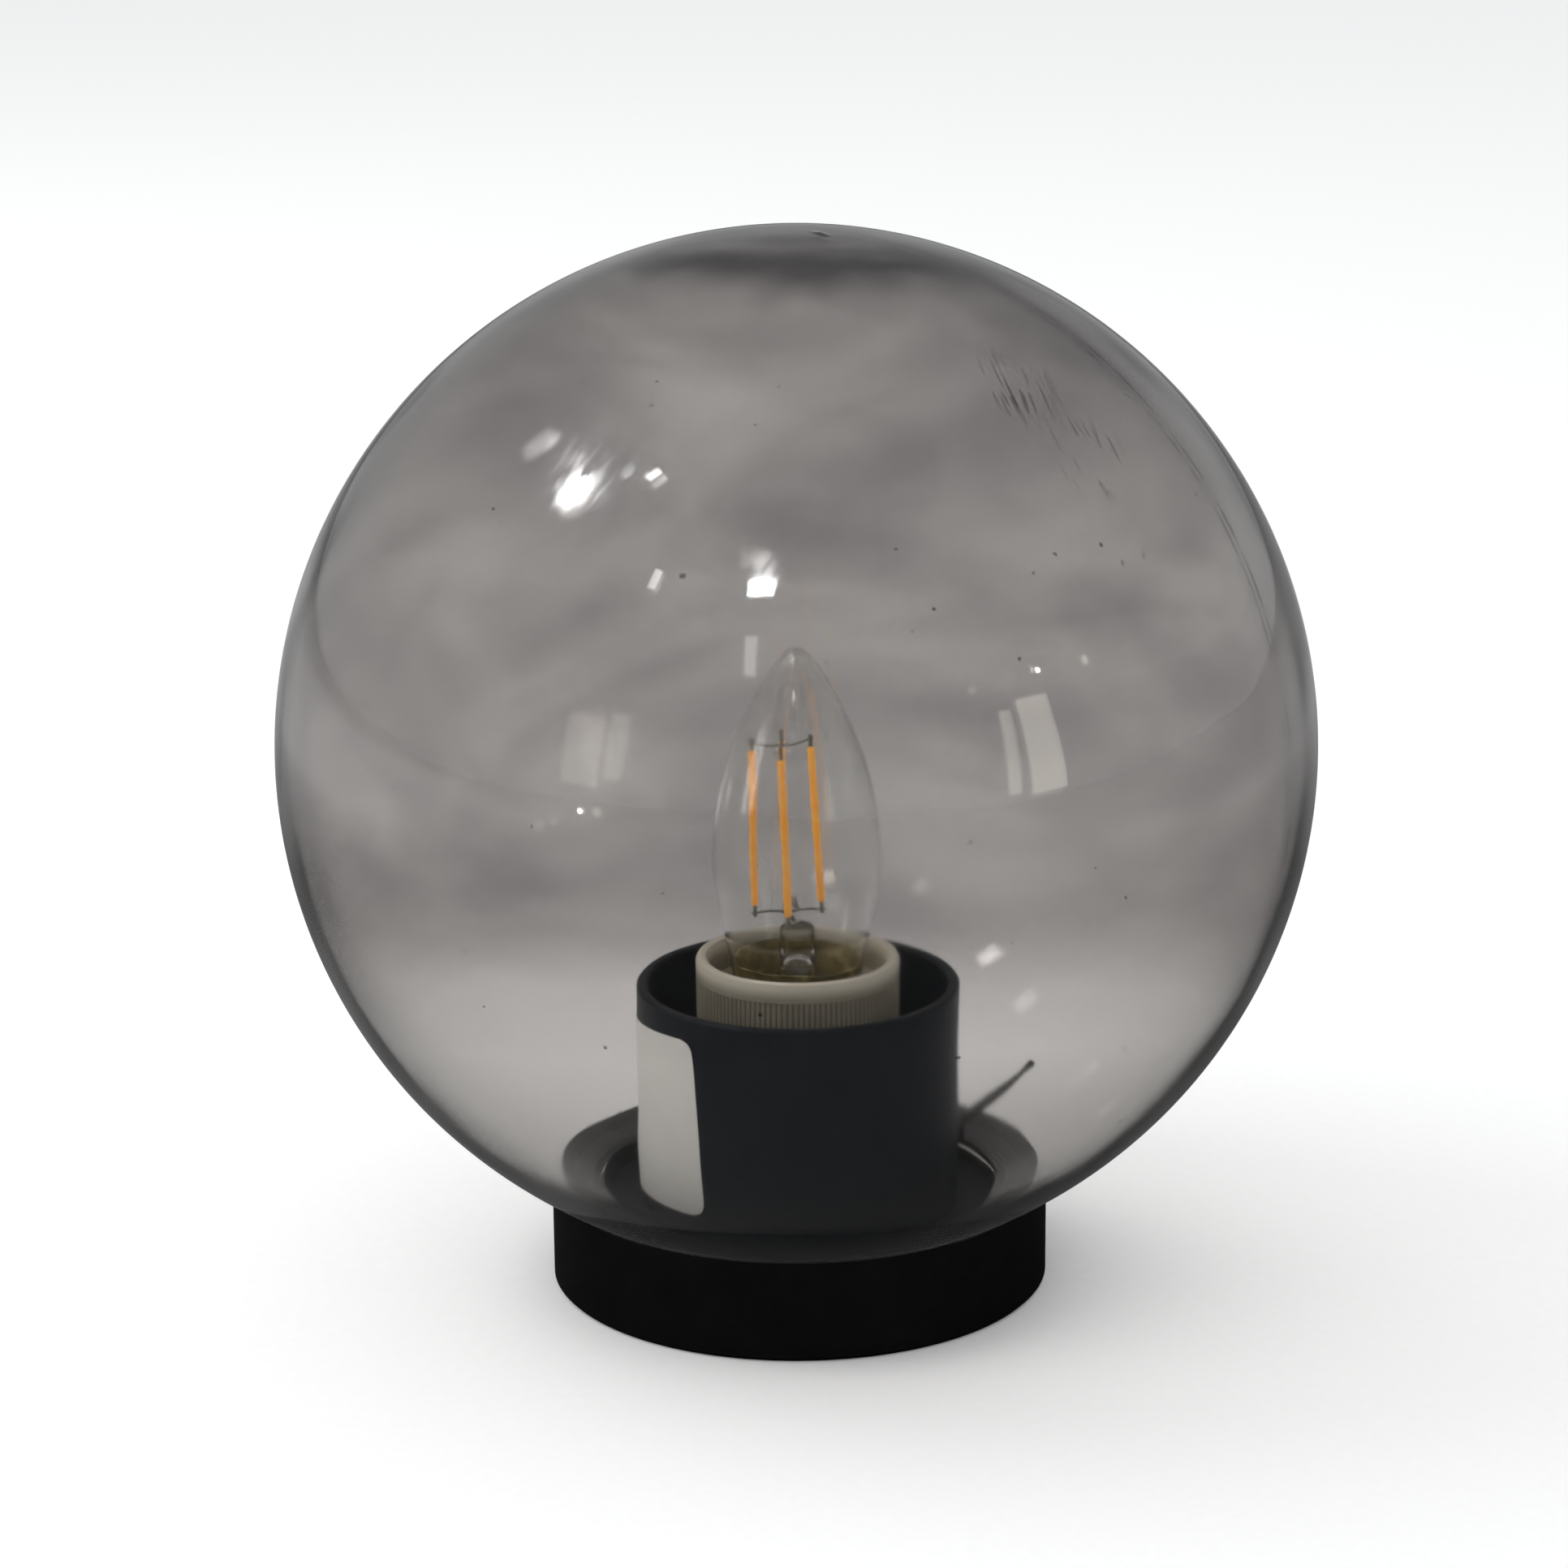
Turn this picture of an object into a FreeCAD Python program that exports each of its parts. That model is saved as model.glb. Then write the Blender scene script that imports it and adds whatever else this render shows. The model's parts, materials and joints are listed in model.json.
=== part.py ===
import FreeCAD, Part
import math
import os

# Globe light fixture for a porch, wall or garden post.
# Millimetres, +Z up. The origin is the middle of the base's underside,
# and the common axis of base, globe, tube, lampholder and bulb is the Z axis.

os.makedirs("parts", exist_ok=True)

V = FreeCAD.Vector
UP = V(0, 0, 1)
ORIGIN = V(0, 0, 0)
FULL_TURN = 360.0

# Globe with a screw neck
globe_diameter = 200.0
globe_wall = 2.5
neck_wall = 2.7
neck_length = 10.0
seat_clearance = 0.3

# Base housing, its radii worked outwards from the lamp tube
base_height = 19.9
base_wall = 2.0
base_edge_chamfer = 0.8
hub_rim_width = 7.45
neck_fit = 0.35
neck_foot_gap = 0.8
deck_height = 14.0
deck_thickness = 2.5
deck_recess = 0.8
base_rib_count = 8
base_rib_thickness = 1.2
fixing_inset = 3.7
fixing_hole_diameter = 4.5
fixing_pillar_diameter = 8.0

# Seat of the globe, from the neck outwards, with the gasket in its groove
seat_inner_width = 1.15
gasket_groove_width = 2.8
gasket_groove_depth = 1.5
seat_outer_width = 2.8

# Lamp tube round the lampholder
tube_holder_gap = 9.5
tube_wall = 2.25
tube_rim_height = 60.0
tube_rim_round = 0.5
tube_floor = 2.5
tube_location_gap = 0.15
tube_screw_diameter = 3.0
tube_screw_inset = 4.9
tube_screw_boss_diameter = 7.6
tube_screw_boss_height = 5.5
tube_screw_length = 8.0
tube_screw_count = 4

# Screws, with heads as shares of the thread diameter
screw_head_share = 1.9
screw_head_height_share = 0.62
screw_hole_gap = 0.2
screw_thread_gap = 0.05

# Bracket under the lampholder
bracket_hole_inset = 5.3
bracket_width = 13.0
bracket_thickness = 1.5
bracket_boss_diameter = 7.6
bracket_boss_height = 3.0
bracket_lip = 2.2
bracket_lip_thickness = 1.2
bracket_screw_diameter = 3.0
bracket_screw_length = 5.5
lampholder_screw_spacing = 20.0
lampholder_screw_diameter = 3.5
lampholder_screw_length = 6.0

# Porcelain lampholder, its radii worked outwards from its threaded shell
holder_height = 45.2
holder_mouth_step = 3.7
holder_lip_width = 2.3
holder_rim_round = 1.1
holder_rim_bevel_share = 0.3
holder_foot_chamfer = 1.0
holder_mouth_depth = 6.5
holder_mouth_slope = 1.6
holder_floor = 8.8
holder_rib_count = 118
holder_rib_depth = 0.35
holder_rib_top_gap = 4.0
holder_rib_foot_gap = 3.0

# Threaded shell of the lampholder, round the bulb's cap
shell_cap_gap = 0.3
shell_wall = 0.4
shell_height = 24.0
shell_ledge_height = 4.5
shell_ledge_width = 3.0
shell_fit = 0.2

# Contacts and terminals of the lampholder
terminal_width = 5.0
terminal_depth = 5.0
terminal_height = 3.6
terminal_web = 1.5
terminal_gap = 0.4
terminal_headroom = 2.6
terminal_screw_diameter = 2.5
terminal_screw_length = 3.2
contact_width = 4.0
contact_thickness = 0.4
contact_rise = 1.6
contact_flat = 3.0

# Bulb with a 27 mm screw cap and a candle shaped glass
cap_diameter = 26.2
cap_height = 22.3
cap_wall = 0.3
cap_rim_flare = 0.2
bulb_glass_diameter = 33.2
bulb_length = 95.4
bulb_glass_wall = 0.7
bulb_glass_neck_depth = 4.0
bulb_glass_fit = 0.3
bulb_widest_height_share = 0.38
bulb_shoulder_power_share = 1.5
bulb_tip_power_share = 0.8
bulb_glass_rings = 9
insulator_height = 3.2
tip_diameter = 9.4
tip_height = 1.6
tip_side_share = 0.25
tip_contact_gap = 0.3
filament_count = 4
filament_diameter = 1.7
filament_length = 32.0
filament_circle_diameter = 12.0
filament_start_height = 43.5
stem_rod_diameter = 2.4
stem_press_diameter = 7.0
stem_flare_height = 9.0
support_wire_diameter = 0.6
support_wire_overlap = 1.2
driver_board_width = 17.0
driver_board_height = 15.0
driver_board_thickness = 1.0
driver_capacitor_diameter = 6.3
driver_capacitor_length = 8.0
driver_chip_size = 4.0
driver_chip_height = 1.5
driver_chip_count = 2
driver_part_offset_share = 0.25

# Inner leads, side by side at the pitch of terminals and connector, and their tie
wiring_angle = 28.0
lead_diameter = 2.5
lead_pitch = 8.0
lead_wall_gap = 2.7
lead_bend_share = 0.45
lead_hole_width = 4.5
lead_hole_inset = 0.7
tie_width = 2.4
tie_thickness = 1.1
tie_drop = 4.4
tie_slot_gap = 0.3
tie_lead_gap = 0.7
tie_head_length = 4.6
tie_head_width = 4.4
tie_head_depth = 3.6
tie_head_offset = 3.0
tie_tail_length = 23.7
tie_tail_rise_angle = 30.0

# Connector under the deck
connector_length = 20.0
connector_width = 15.0
connector_screw_reach_share = 0.25
connector_height = 7.6
connector_tower_diameter = 5.6
connector_tower_height = 1.4
connector_bore_diameter = 3.6
connector_insert_wall = 0.7
connector_insert_length = 13.0
connector_screw_diameter = 2.2
connector_screw_length = 1.6
connector_seat_gap = 0.2
connector_centre = 8.0

# One overrun for all cutting tools
cut_over = 2.0

# Radii, worked outwards from the bulb's cap
cap_r = cap_diameter / 2
shell_inner_r = cap_r + shell_cap_gap
shell_r = shell_inner_r + shell_wall
holder_bore_r = shell_r + shell_fit
holder_well_r = holder_bore_r - shell_ledge_width
holder_mouth_r = holder_bore_r + holder_mouth_step
holder_r = holder_mouth_r + holder_lip_width
terminal_reach = holder_well_r + terminal_web + terminal_depth / 2
tube_inner_r = holder_r + tube_holder_gap
tube_r = tube_inner_r + tube_wall
tube_screw_r = tube_inner_r - tube_screw_inset
bracket_hole_r = tube_inner_r - bracket_hole_inset
lead_reach = tube_inner_r - lead_wall_gap
hub_r = tube_r + hub_rim_width
fixing_r = hub_r - fixing_inset
neck_inner_r = hub_r + neck_fit
neck_r = neck_inner_r + neck_wall
well_r = neck_r + neck_fit
groove_inner_r = neck_r + seat_inner_width
groove_outer_r = groove_inner_r + gasket_groove_width
base_r = groove_outer_r + seat_outer_width
globe_r = globe_diameter / 2
dish_r = globe_r + seat_clearance

# Heights, from the base up
globe_centre_z = base_height + math.sqrt(dish_r ** 2 - base_r ** 2)


def sphere_low_z(radius, at_radius):
    """Height of the lower half of a sphere about the globe's centre, at a distance from the axis."""
    return globe_centre_z - math.sqrt(radius ** 2 - at_radius ** 2)


neck_root_z = sphere_low_z(globe_r, neck_r)
neck_bottom_z = neck_root_z - neck_length
well_floor_z = neck_bottom_z - neck_foot_gap
groove_floor_z = sphere_low_z(dish_r, groove_inner_r) - gasket_groove_depth
deck_under_z = deck_height - deck_thickness
tube_bottom_z = deck_height - deck_recess
tube_floor_z = tube_bottom_z + tube_floor
bracket_bottom_z = tube_floor_z + bracket_boss_height
holder_bottom_z = bracket_bottom_z + bracket_thickness
holder_top_z = holder_bottom_z + holder_height
holder_floor_z = holder_bottom_z + holder_floor
shell_bottom_z = holder_floor_z + shell_ledge_height
terminal_bottom_z = holder_floor_z - terminal_height
lead_start_z = holder_floor_z - terminal_height / 2
tie_z = lead_start_z - tie_drop
lead_end_z = deck_under_z - connector_seat_gap - connector_height / 2
connector_screw_reach = connector_width * connector_screw_reach_share
contact_top_z = holder_floor_z + contact_rise + contact_thickness
bulb_bottom_z = contact_top_z + tip_contact_gap
insulator_bottom_z = bulb_bottom_z + tip_height
cap_bottom_z = insulator_bottom_z + insulator_height
cap_top_z = cap_bottom_z + cap_height
bulb_top_z = bulb_bottom_z + bulb_length
print("base diameter", 2 * base_r, "neck diameter", 2 * neck_r, "tube diameter", 2 * tube_r)
print("holder diameter", 2 * holder_r, "fixing spacing", 2 * fixing_r, "top", globe_centre_z + globe_r)


def about_axis(shape, degrees):
    """A copy of the shape, turned about the Z axis."""
    turned_shape = shape.copy()
    turned_shape.rotate(ORIGIN, UP, degrees)
    return turned_shape


def spaced_round(shape, count, start=0.0):
    """Copies of the shape at equal steps round the Z axis."""
    return [about_axis(shape, start + FULL_TURN * i / count) for i in range(count)]


def cylinder(diameter, low_z, high_z, x=0, y=0):
    return Part.makeCylinder(diameter / 2, high_z - low_z, V(x, y, low_z), UP)


def bar(direction, diameter, length, start):
    """A round bar from a start point along a direction."""
    return Part.makeCylinder(diameter / 2, length, start, direction)


def block(length, width, low_z, high_z, x=0, y=0):
    """A box centred on x, y in plan, between two heights."""
    corner = V(x - length / 2, y - width / 2, low_z)
    return Part.makeBox(length, width, high_z - low_z, corner)


def outline_face(steps):
    """A face in the XZ plane. A step is (r, z), a corner, or (r, z, mid_r, mid_z), an arc's end and mid."""
    corners = [V(step[0], 0, step[1]) for step in steps]
    edges = []
    for i, step in enumerate(steps):
        start = corners[i - 1]
        end = corners[i]
        if len(step) > 2:
            edges.append(Part.Arc(start, V(step[2], 0, step[3]), end).toShape())
        elif start.distanceToPoint(end) > 0:
            edges.append(Part.makeLine(start, end))
    return Part.Face(Part.Wire(edges))


def turned(steps):
    """A solid of revolution about the Z axis from an outline of radii and heights."""
    return outline_face(steps).revolve(ORIGIN, UP, FULL_TURN)


def joined(shapes):
    whole = shapes[0].fuse(shapes[1:])
    return whole.removeSplitter()


def save(name, shape):
    """Write a piece, or a group of like pieces, to its own file."""
    if isinstance(shape, list):
        shape = Part.makeCompound(shape)
    if not shape.isValid():
        raise ValueError(name + " is not a valid shape")
    shape.exportStep("parts/" + name + ".step")
    print(name, "solids", len(shape.Solids), "volume", round(shape.Volume, 1))


def plain_screw(diameter, length):
    """A cheese head screw: underside of its head at the origin, shank down."""
    head_r = diameter * screw_head_share / 2
    head_h = diameter * screw_head_height_share
    shank_r = diameter / 2
    shank = [(0, -length), (shank_r, -length), (shank_r, 0)]
    head = [(head_r, 0), (head_r, head_h), (0, head_h)]
    return turned(shank + head)


def screw_at(diameter, length, x, y, z, head_down=False):
    screw = plain_screw(diameter, length)
    if head_down:
        screw.rotate(ORIGIN, V(1, 0, 0), FULL_TURN / 2)
    screw.translate(V(x, y, z))
    return screw


def around(radius, degrees):
    """Plan position at a radius and angle about the axis."""
    angle = math.radians(degrees)
    return radius * math.cos(angle), radius * math.sin(angle)


# Base housing: skirt, dished seat, neck well and deck as one moulding

def dish_arc(from_r, to_r):
    """Arc of the dished seat from one radius to another, as an outline step."""
    mid_r = (from_r + to_r) / 2
    return (to_r, sphere_low_z(dish_r, to_r), mid_r, sphere_low_z(dish_r, mid_r))


def base_housing():
    skirt_inner_r = base_r - base_wall
    well_wall_r = well_r + base_wall
    core_top_z = groove_floor_z - base_wall
    well_under_z = well_floor_z - base_wall
    hub_inner_r = hub_r - base_wall
    shell = turned([
        (0, deck_under_z),
        (hub_inner_r, deck_under_z),
        (hub_inner_r, well_under_z),
        (well_wall_r, well_under_z),
        (well_wall_r, core_top_z),
        (skirt_inner_r, core_top_z),
        (skirt_inner_r, 0),
        (base_r - base_edge_chamfer, 0),
        (base_r, base_edge_chamfer),
        (base_r, base_height),
        dish_arc(base_r, groove_outer_r),
        (groove_outer_r, groove_floor_z),
        (groove_inner_r, groove_floor_z),
        (groove_inner_r, sphere_low_z(dish_r, groove_inner_r)),
        dish_arc(groove_inner_r, well_r),
        (well_r, well_floor_z),
        (hub_r, well_floor_z),
        (hub_r, deck_height),
        (tube_r + tube_location_gap, deck_height),
        (tube_r + tube_location_gap, tube_bottom_z),
        (0, tube_bottom_z),
    ])
    rib_low_z = well_under_z
    rib_x = (well_wall_r + skirt_inner_r) / 2
    rib_length = skirt_inner_r - well_wall_r + base_wall
    rib = block(rib_length, base_rib_thickness, rib_low_z, core_top_z + base_wall / 2, rib_x)
    ribs = spaced_round(rib, base_rib_count)
    pillars = [cylinder(fixing_pillar_diameter, 0, deck_height - base_wall / 2, 0, side * fixing_r)
               for side in (-1, 1)]
    pillar_limit = cylinder(2 * (hub_r - base_wall / 2), 0, deck_height)
    pillars = [pillar.common(pillar_limit) for pillar in pillars]
    body = joined([shell] + ribs + pillars)
    holes = [cylinder(fixing_hole_diameter, -cut_over, deck_height + cut_over, 0, side * fixing_r)
             for side in (-1, 1)]
    low_z = deck_under_z - cut_over
    high_z = deck_height + cut_over
    for step in range(tube_screw_count):
        x, y = tube_screw_place(step)
        hole = tube_screw_diameter + 2 * screw_hole_gap
        holes.append(cylinder(hole, low_z, high_z, x, y))
    holes.append(lead_hole(low_z, high_z))
    x, y = around(connector_centre, wiring_angle)
    pilot = connector_screw_diameter + 2 * screw_thread_gap
    holes.append(cylinder(pilot, low_z, high_z, x, y))
    return body.cut(holes)


def lead_hole(low_z, high_z):
    """A long hole with round ends that both leads pass, side by side."""
    reach = lead_reach - lead_hole_inset
    ends = [cylinder(lead_hole_width, low_z, high_z, reach, side * lead_pitch / 2) for side in (-1, 1)]
    middle = block(lead_hole_width, lead_pitch, low_z, high_z, reach)
    return about_axis(joined([middle] + ends), wiring_angle)


def tube_screw_place(step):
    """The tube's screws stand between the lead hole and the bracket's bosses."""
    half_step = FULL_TURN / tube_screw_count / 2
    return around(tube_screw_r, wiring_angle + half_step * (2 * step + 1))


# Globe with its neck, and the gasket under its shoulder

def globe():
    inner_r = globe_r - globe_wall
    inner_root_z = sphere_low_z(inner_r, neck_inner_r)
    top_z = globe_centre_z + globe_r
    inner_top_z = globe_centre_z + inner_r
    slant_share = math.sqrt(2) / 2
    return turned([
        (0, inner_top_z),
        (0, top_z),
        (globe_r, globe_centre_z, globe_r * slant_share, globe_centre_z + globe_r * slant_share),
        (neck_r, neck_root_z) + sphere_mid(globe_r, neck_r),
        (neck_r, neck_bottom_z),
        (neck_inner_r, neck_bottom_z),
        (neck_inner_r, inner_root_z),
        (inner_r, globe_centre_z) + sphere_mid(inner_r, neck_inner_r),
        (0, inner_top_z, inner_r * slant_share, globe_centre_z + inner_r * slant_share),
    ])


def sphere_mid(radius, neck_at):
    """Middle of the arc between a sphere's equator and the neck, as radius and height."""
    neck_angle = math.acos(neck_at / radius)
    half = neck_angle / 2
    return (radius * math.cos(half), globe_centre_z - radius * math.sin(half))


def globe_gasket():
    inner = groove_inner_r + seat_clearance
    outer = groove_outer_r - seat_clearance
    middle = (inner + outer) / 2
    bottom_z = groove_floor_z + seat_clearance
    return turned([
        (inner, bottom_z),
        (outer, bottom_z),
        (outer, sphere_low_z(dish_r, outer)),
        (inner, sphere_low_z(dish_r, inner), middle, sphere_low_z(dish_r, middle)),
    ])


# Lamp tube with its floor, bosses, lead hole and tie slots

def lamp_tube():
    rim_z = tube_rim_height
    edge = tube_rim_round
    tube = turned([
        (0, tube_bottom_z),
        (tube_r, tube_bottom_z),
        (tube_r, rim_z - edge),
        (tube_r - edge, rim_z),
        (tube_inner_r + edge, rim_z),
        (tube_inner_r, rim_z - edge),
        (tube_inner_r, tube_floor_z),
        (0, tube_floor_z),
    ])
    sunk = tube_floor / 2
    bosses = []
    for step in range(tube_screw_count):
        x, y = tube_screw_place(step)
        top_z = tube_floor_z + tube_screw_boss_height
        bosses.append(cylinder(tube_screw_boss_diameter, tube_floor_z - sunk, top_z, x, y))
    for side in (-1, 1):
        x, y = bracket_screw_place(side)
        bosses.append(cylinder(bracket_boss_diameter, tube_floor_z - sunk, bracket_bottom_z, x, y))
    body = joined([tube] + bosses)
    cuts = []
    for step in range(tube_screw_count):
        x, y = tube_screw_place(step)
        pilot = tube_screw_diameter + 2 * screw_thread_gap
        depth_z = deck_under_z + tube_screw_length + screw_hole_gap
        cuts.append(cylinder(pilot, tube_bottom_z - cut_over, depth_z, x, y))
    for side in (-1, 1):
        x, y = bracket_screw_place(side)
        pilot = bracket_screw_diameter + 2 * screw_thread_gap
        low_z = holder_bottom_z - bracket_screw_length - screw_hole_gap
        cuts.append(cylinder(pilot, low_z, bracket_bottom_z + cut_over, x, y))
    cuts.append(lead_hole(tube_bottom_z - cut_over, tube_floor_z + cut_over))
    slot_w = tie_thickness + 2 * tie_slot_gap
    slot_h = tie_width + 2 * tie_slot_gap
    for side in (-1, 1):
        slot = block(2 * tube_wall + cut_over, slot_w, tie_z - slot_h / 2, tie_z + slot_h / 2,
                     tube_r - tube_wall / 2, side * tie_side())
        cuts.append(about_axis(slot, wiring_angle))
    return body.cut(cuts)


def bracket_screw_place(side):
    """The bracket lies square to the leads."""
    return around(side * bracket_hole_r, wiring_angle + FULL_TURN / 4)


def tube_screws():
    return [screw_at(tube_screw_diameter, tube_screw_length, *tube_screw_place(step), deck_under_z, True)
            for step in range(tube_screw_count)]


# Bracket under the lampholder: a bridge bar with folded lips

def lampholder_bracket():
    top_z = holder_bottom_z
    plate = block(2 * bracket_hole_r, bracket_width, bracket_bottom_z, top_z)
    ends = [cylinder(bracket_width, bracket_bottom_z, top_z, side * bracket_hole_r) for side in (-1, 1)]
    wall_limit = cylinder(2 * (tube_inner_r - screw_hole_gap), bracket_bottom_z, top_z)
    lip_length = 2 * bracket_hole_r - bracket_boss_diameter - 2 * bracket_thickness
    lip_y = (bracket_width - bracket_lip_thickness) / 2
    lips = [block(lip_length, bracket_lip_thickness, bracket_bottom_z - bracket_lip, bracket_bottom_z,
                  0, side * lip_y) for side in (-1, 1)]
    bridge = joined([plate] + ends).common(wall_limit)
    bridge = joined([bridge] + lips)
    cuts = []
    for side in (-1, 1):
        hole = bracket_screw_diameter + 2 * screw_hole_gap
        cuts.append(cylinder(hole, bracket_bottom_z - cut_over, top_z + cut_over, side * bracket_hole_r))
        hole = lampholder_screw_diameter + 2 * screw_hole_gap
        x = side * lampholder_screw_spacing / 2
        cuts.append(cylinder(hole, bracket_bottom_z - cut_over, top_z + cut_over, x))
    return about_axis(bridge.cut(cuts), wiring_angle + FULL_TURN / 4)


def bracket_screws():
    screws = []
    for side in (-1, 1):
        x, y = bracket_screw_place(side)
        screws.append(screw_at(bracket_screw_diameter, bracket_screw_length, x, y, holder_bottom_z))
    return screws


def lampholder_screw_place(side):
    return around(side * lampholder_screw_spacing / 2, wiring_angle + FULL_TURN / 4)


def lampholder_screws():
    return [screw_at(lampholder_screw_diameter, lampholder_screw_length, *lampholder_screw_place(side),
                     bracket_bottom_z, True) for side in (-1, 1)]


# Porcelain body of the lampholder

def ribbed_column(low_z, high_z):
    """A column whose outside is fine upright ribs with V grooves between them."""
    points = []
    for i in range(2 * holder_rib_count):
        radius = holder_r if i % 2 == 0 else holder_r - holder_rib_depth
        angle = math.pi * i / holder_rib_count
        points.append(V(radius * math.cos(angle), radius * math.sin(angle), low_z))
    face = Part.Face(Part.makePolygon(points + [points[0]]))
    return face.extrude(V(0, 0, high_z - low_z))


def lampholder_body():
    rib_low_z = holder_bottom_z + holder_rib_foot_gap
    rib_high_z = holder_top_z - holder_rib_top_gap
    foot = turned([
        (0, holder_bottom_z),
        (holder_r - holder_foot_chamfer, holder_bottom_z),
        (holder_r, holder_bottom_z + holder_foot_chamfer),
        (holder_r, rib_low_z),
        (0, rib_low_z),
    ])
    rim = holder_rim_round
    bevel = rim * holder_rim_bevel_share
    collar = turned([
        (0, rib_high_z),
        (holder_r, rib_high_z),
        (holder_r, holder_top_z - rim),
        (holder_r - bevel, holder_top_z - bevel),
        (holder_r - rim, holder_top_z),
        (0, holder_top_z),
    ])
    solid = foot.fuse([ribbed_column(rib_low_z, rib_high_z), collar])
    mouth_floor_z = holder_top_z - holder_mouth_depth
    hollow = turned([
        (0, holder_floor_z),
        (holder_well_r, holder_floor_z),
        (holder_well_r, shell_bottom_z),
        (holder_bore_r, shell_bottom_z),
        (holder_bore_r, mouth_floor_z - holder_mouth_slope),
        (holder_mouth_r, mouth_floor_z),
        (holder_mouth_r, holder_top_z - rim),
        (holder_mouth_r + bevel, holder_top_z - bevel),
        (holder_mouth_r + rim, holder_top_z),
        (holder_mouth_r + rim, holder_top_z + cut_over),
        (0, holder_top_z + cut_over),
    ])
    cuts = [hollow]
    pocket_low_z = terminal_bottom_z - terminal_gap
    pocket_high_z = holder_floor_z + terminal_headroom
    pocket_inner = terminal_reach - terminal_depth / 2 - terminal_gap
    pocket_length = holder_r - pocket_inner + cut_over
    slot_w = contact_width + 2 * terminal_gap
    slot_high_z = holder_floor_z + contact_thickness + terminal_gap
    slot = block(terminal_radius(), slot_w, holder_floor_z, slot_high_z, terminal_radius() / 2)
    for side in (-1, 1):
        pocket = block(pocket_length, terminal_width + 2 * terminal_gap, pocket_low_z, pocket_high_z,
                       pocket_inner + pocket_length / 2, side * lead_pitch / 2)
        cuts.append(about_axis(pocket, wiring_angle))
        cuts.append(about_axis(slot, terminal_angle(side)))
    for side in (-1, 1):
        x, y = lampholder_screw_place(side)
        hole = lampholder_screw_diameter + 2 * screw_thread_gap
        top_z = bracket_bottom_z + lampholder_screw_length + screw_hole_gap
        cuts.append(cylinder(hole, holder_bottom_z - cut_over, top_z, x, y))
    return solid.cut(cuts)


def terminal_radius():
    return math.hypot(terminal_reach, lead_pitch / 2)


def terminal_angle(side):
    """The two terminals stand side by side, on the side where the leads come up."""
    return wiring_angle + side * math.degrees(math.atan2(lead_pitch / 2, terminal_reach))


def lampholder_shell():
    top_z = shell_bottom_z + shell_height
    return turned([
        (holder_well_r, shell_bottom_z),
        (shell_r, shell_bottom_z),
        (shell_r, top_z),
        (shell_inner_r, top_z),
        (shell_inner_r, shell_bottom_z + shell_wall),
        (holder_well_r, shell_bottom_z + shell_wall),
    ])


def strip_with_hole(points, side):
    """A bent strip, from its side outline in the XZ plane, with a hole for its terminal's screw."""
    half = contact_width / 2
    face = Part.Face(Part.makePolygon([V(x, -half, z) for x, z in points + [points[0]]]))
    strip = face.extrude(V(0, contact_width, 0))
    hole = terminal_screw_diameter + 2 * screw_hole_gap
    strip = strip.cut(cylinder(hole, holder_floor_z - cut_over, holder_floor_z + cut_over, terminal_radius()))
    return about_axis(strip, terminal_angle(side))


def centre_contact():
    t = contact_thickness
    low_z = holder_floor_z
    top_z = contact_top_z
    end_x = terminal_radius() + contact_width / 2
    hump = contact_flat / 2
    foot_x = contact_flat * 2
    points = [
        (end_x, low_z), (end_x, low_z + t), (foot_x, low_z + t), (hump, top_z), (-hump, top_z),
        (-foot_x, low_z + 2 * t), (-foot_x, low_z + t), (-hump, top_z - t), (hump, top_z - t),
        (foot_x, low_z),
    ]
    return strip_with_hole(points, -1)


def side_contact():
    t = contact_thickness
    low_z = holder_floor_z
    end_x = terminal_radius() + contact_width / 2
    leg_x = holder_well_r - screw_hole_gap - t
    leg_top_z = shell_bottom_z + shell_wall
    points = [
        (leg_x, low_z), (end_x, low_z), (end_x, low_z + t), (leg_x + t, low_z + t),
        (leg_x + t, leg_top_z), (leg_x, leg_top_z),
    ]
    return strip_with_hole(points, 1)


def lampholder_terminals():
    low_z = terminal_bottom_z
    hole = terminal_screw_diameter + 2 * screw_thread_gap
    bodies = []
    for side in (-1, 1):
        y = side * lead_pitch / 2
        body = block(terminal_depth, terminal_width, low_z, holder_floor_z, terminal_reach, y)
        body = body.cut(cylinder(hole, low_z - cut_over, holder_floor_z + cut_over, terminal_reach, y))
        bodies.append(about_axis(body, wiring_angle))
    return bodies


def terminal_screws():
    head_z = holder_floor_z + contact_thickness
    return [screw_at(terminal_screw_diameter, terminal_screw_length,
                     *around(terminal_radius(), terminal_angle(side)), head_z) for side in (-1, 1)]


# Bulb: glass, stem, filaments, wires, cap, insulator, tip and driver

def bulb_neck_r():
    """The glass seats in the cap."""
    return cap_r - cap_wall - bulb_glass_fit


def bulb_glass_radius(share):
    """Outer radius of the candle shaped glass at a share of its height above the cap's rim.

    It swells as a sine up to the widest place. Above it the radius is the widest one times one less
    the fall, raised to the shoulder's power before and to the tip's power after the subtraction.
    """
    widest_r = bulb_glass_diameter / 2
    if share < bulb_widest_height_share:
        swell = math.sin(math.pi / 2 * share / bulb_widest_height_share)
        return bulb_neck_r() + (widest_r - bulb_neck_r()) * swell
    fall = (share - bulb_widest_height_share) / (1 - bulb_widest_height_share)
    return widest_r * (1 - fall ** bulb_shoulder_power_share) ** bulb_tip_power_share


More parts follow.
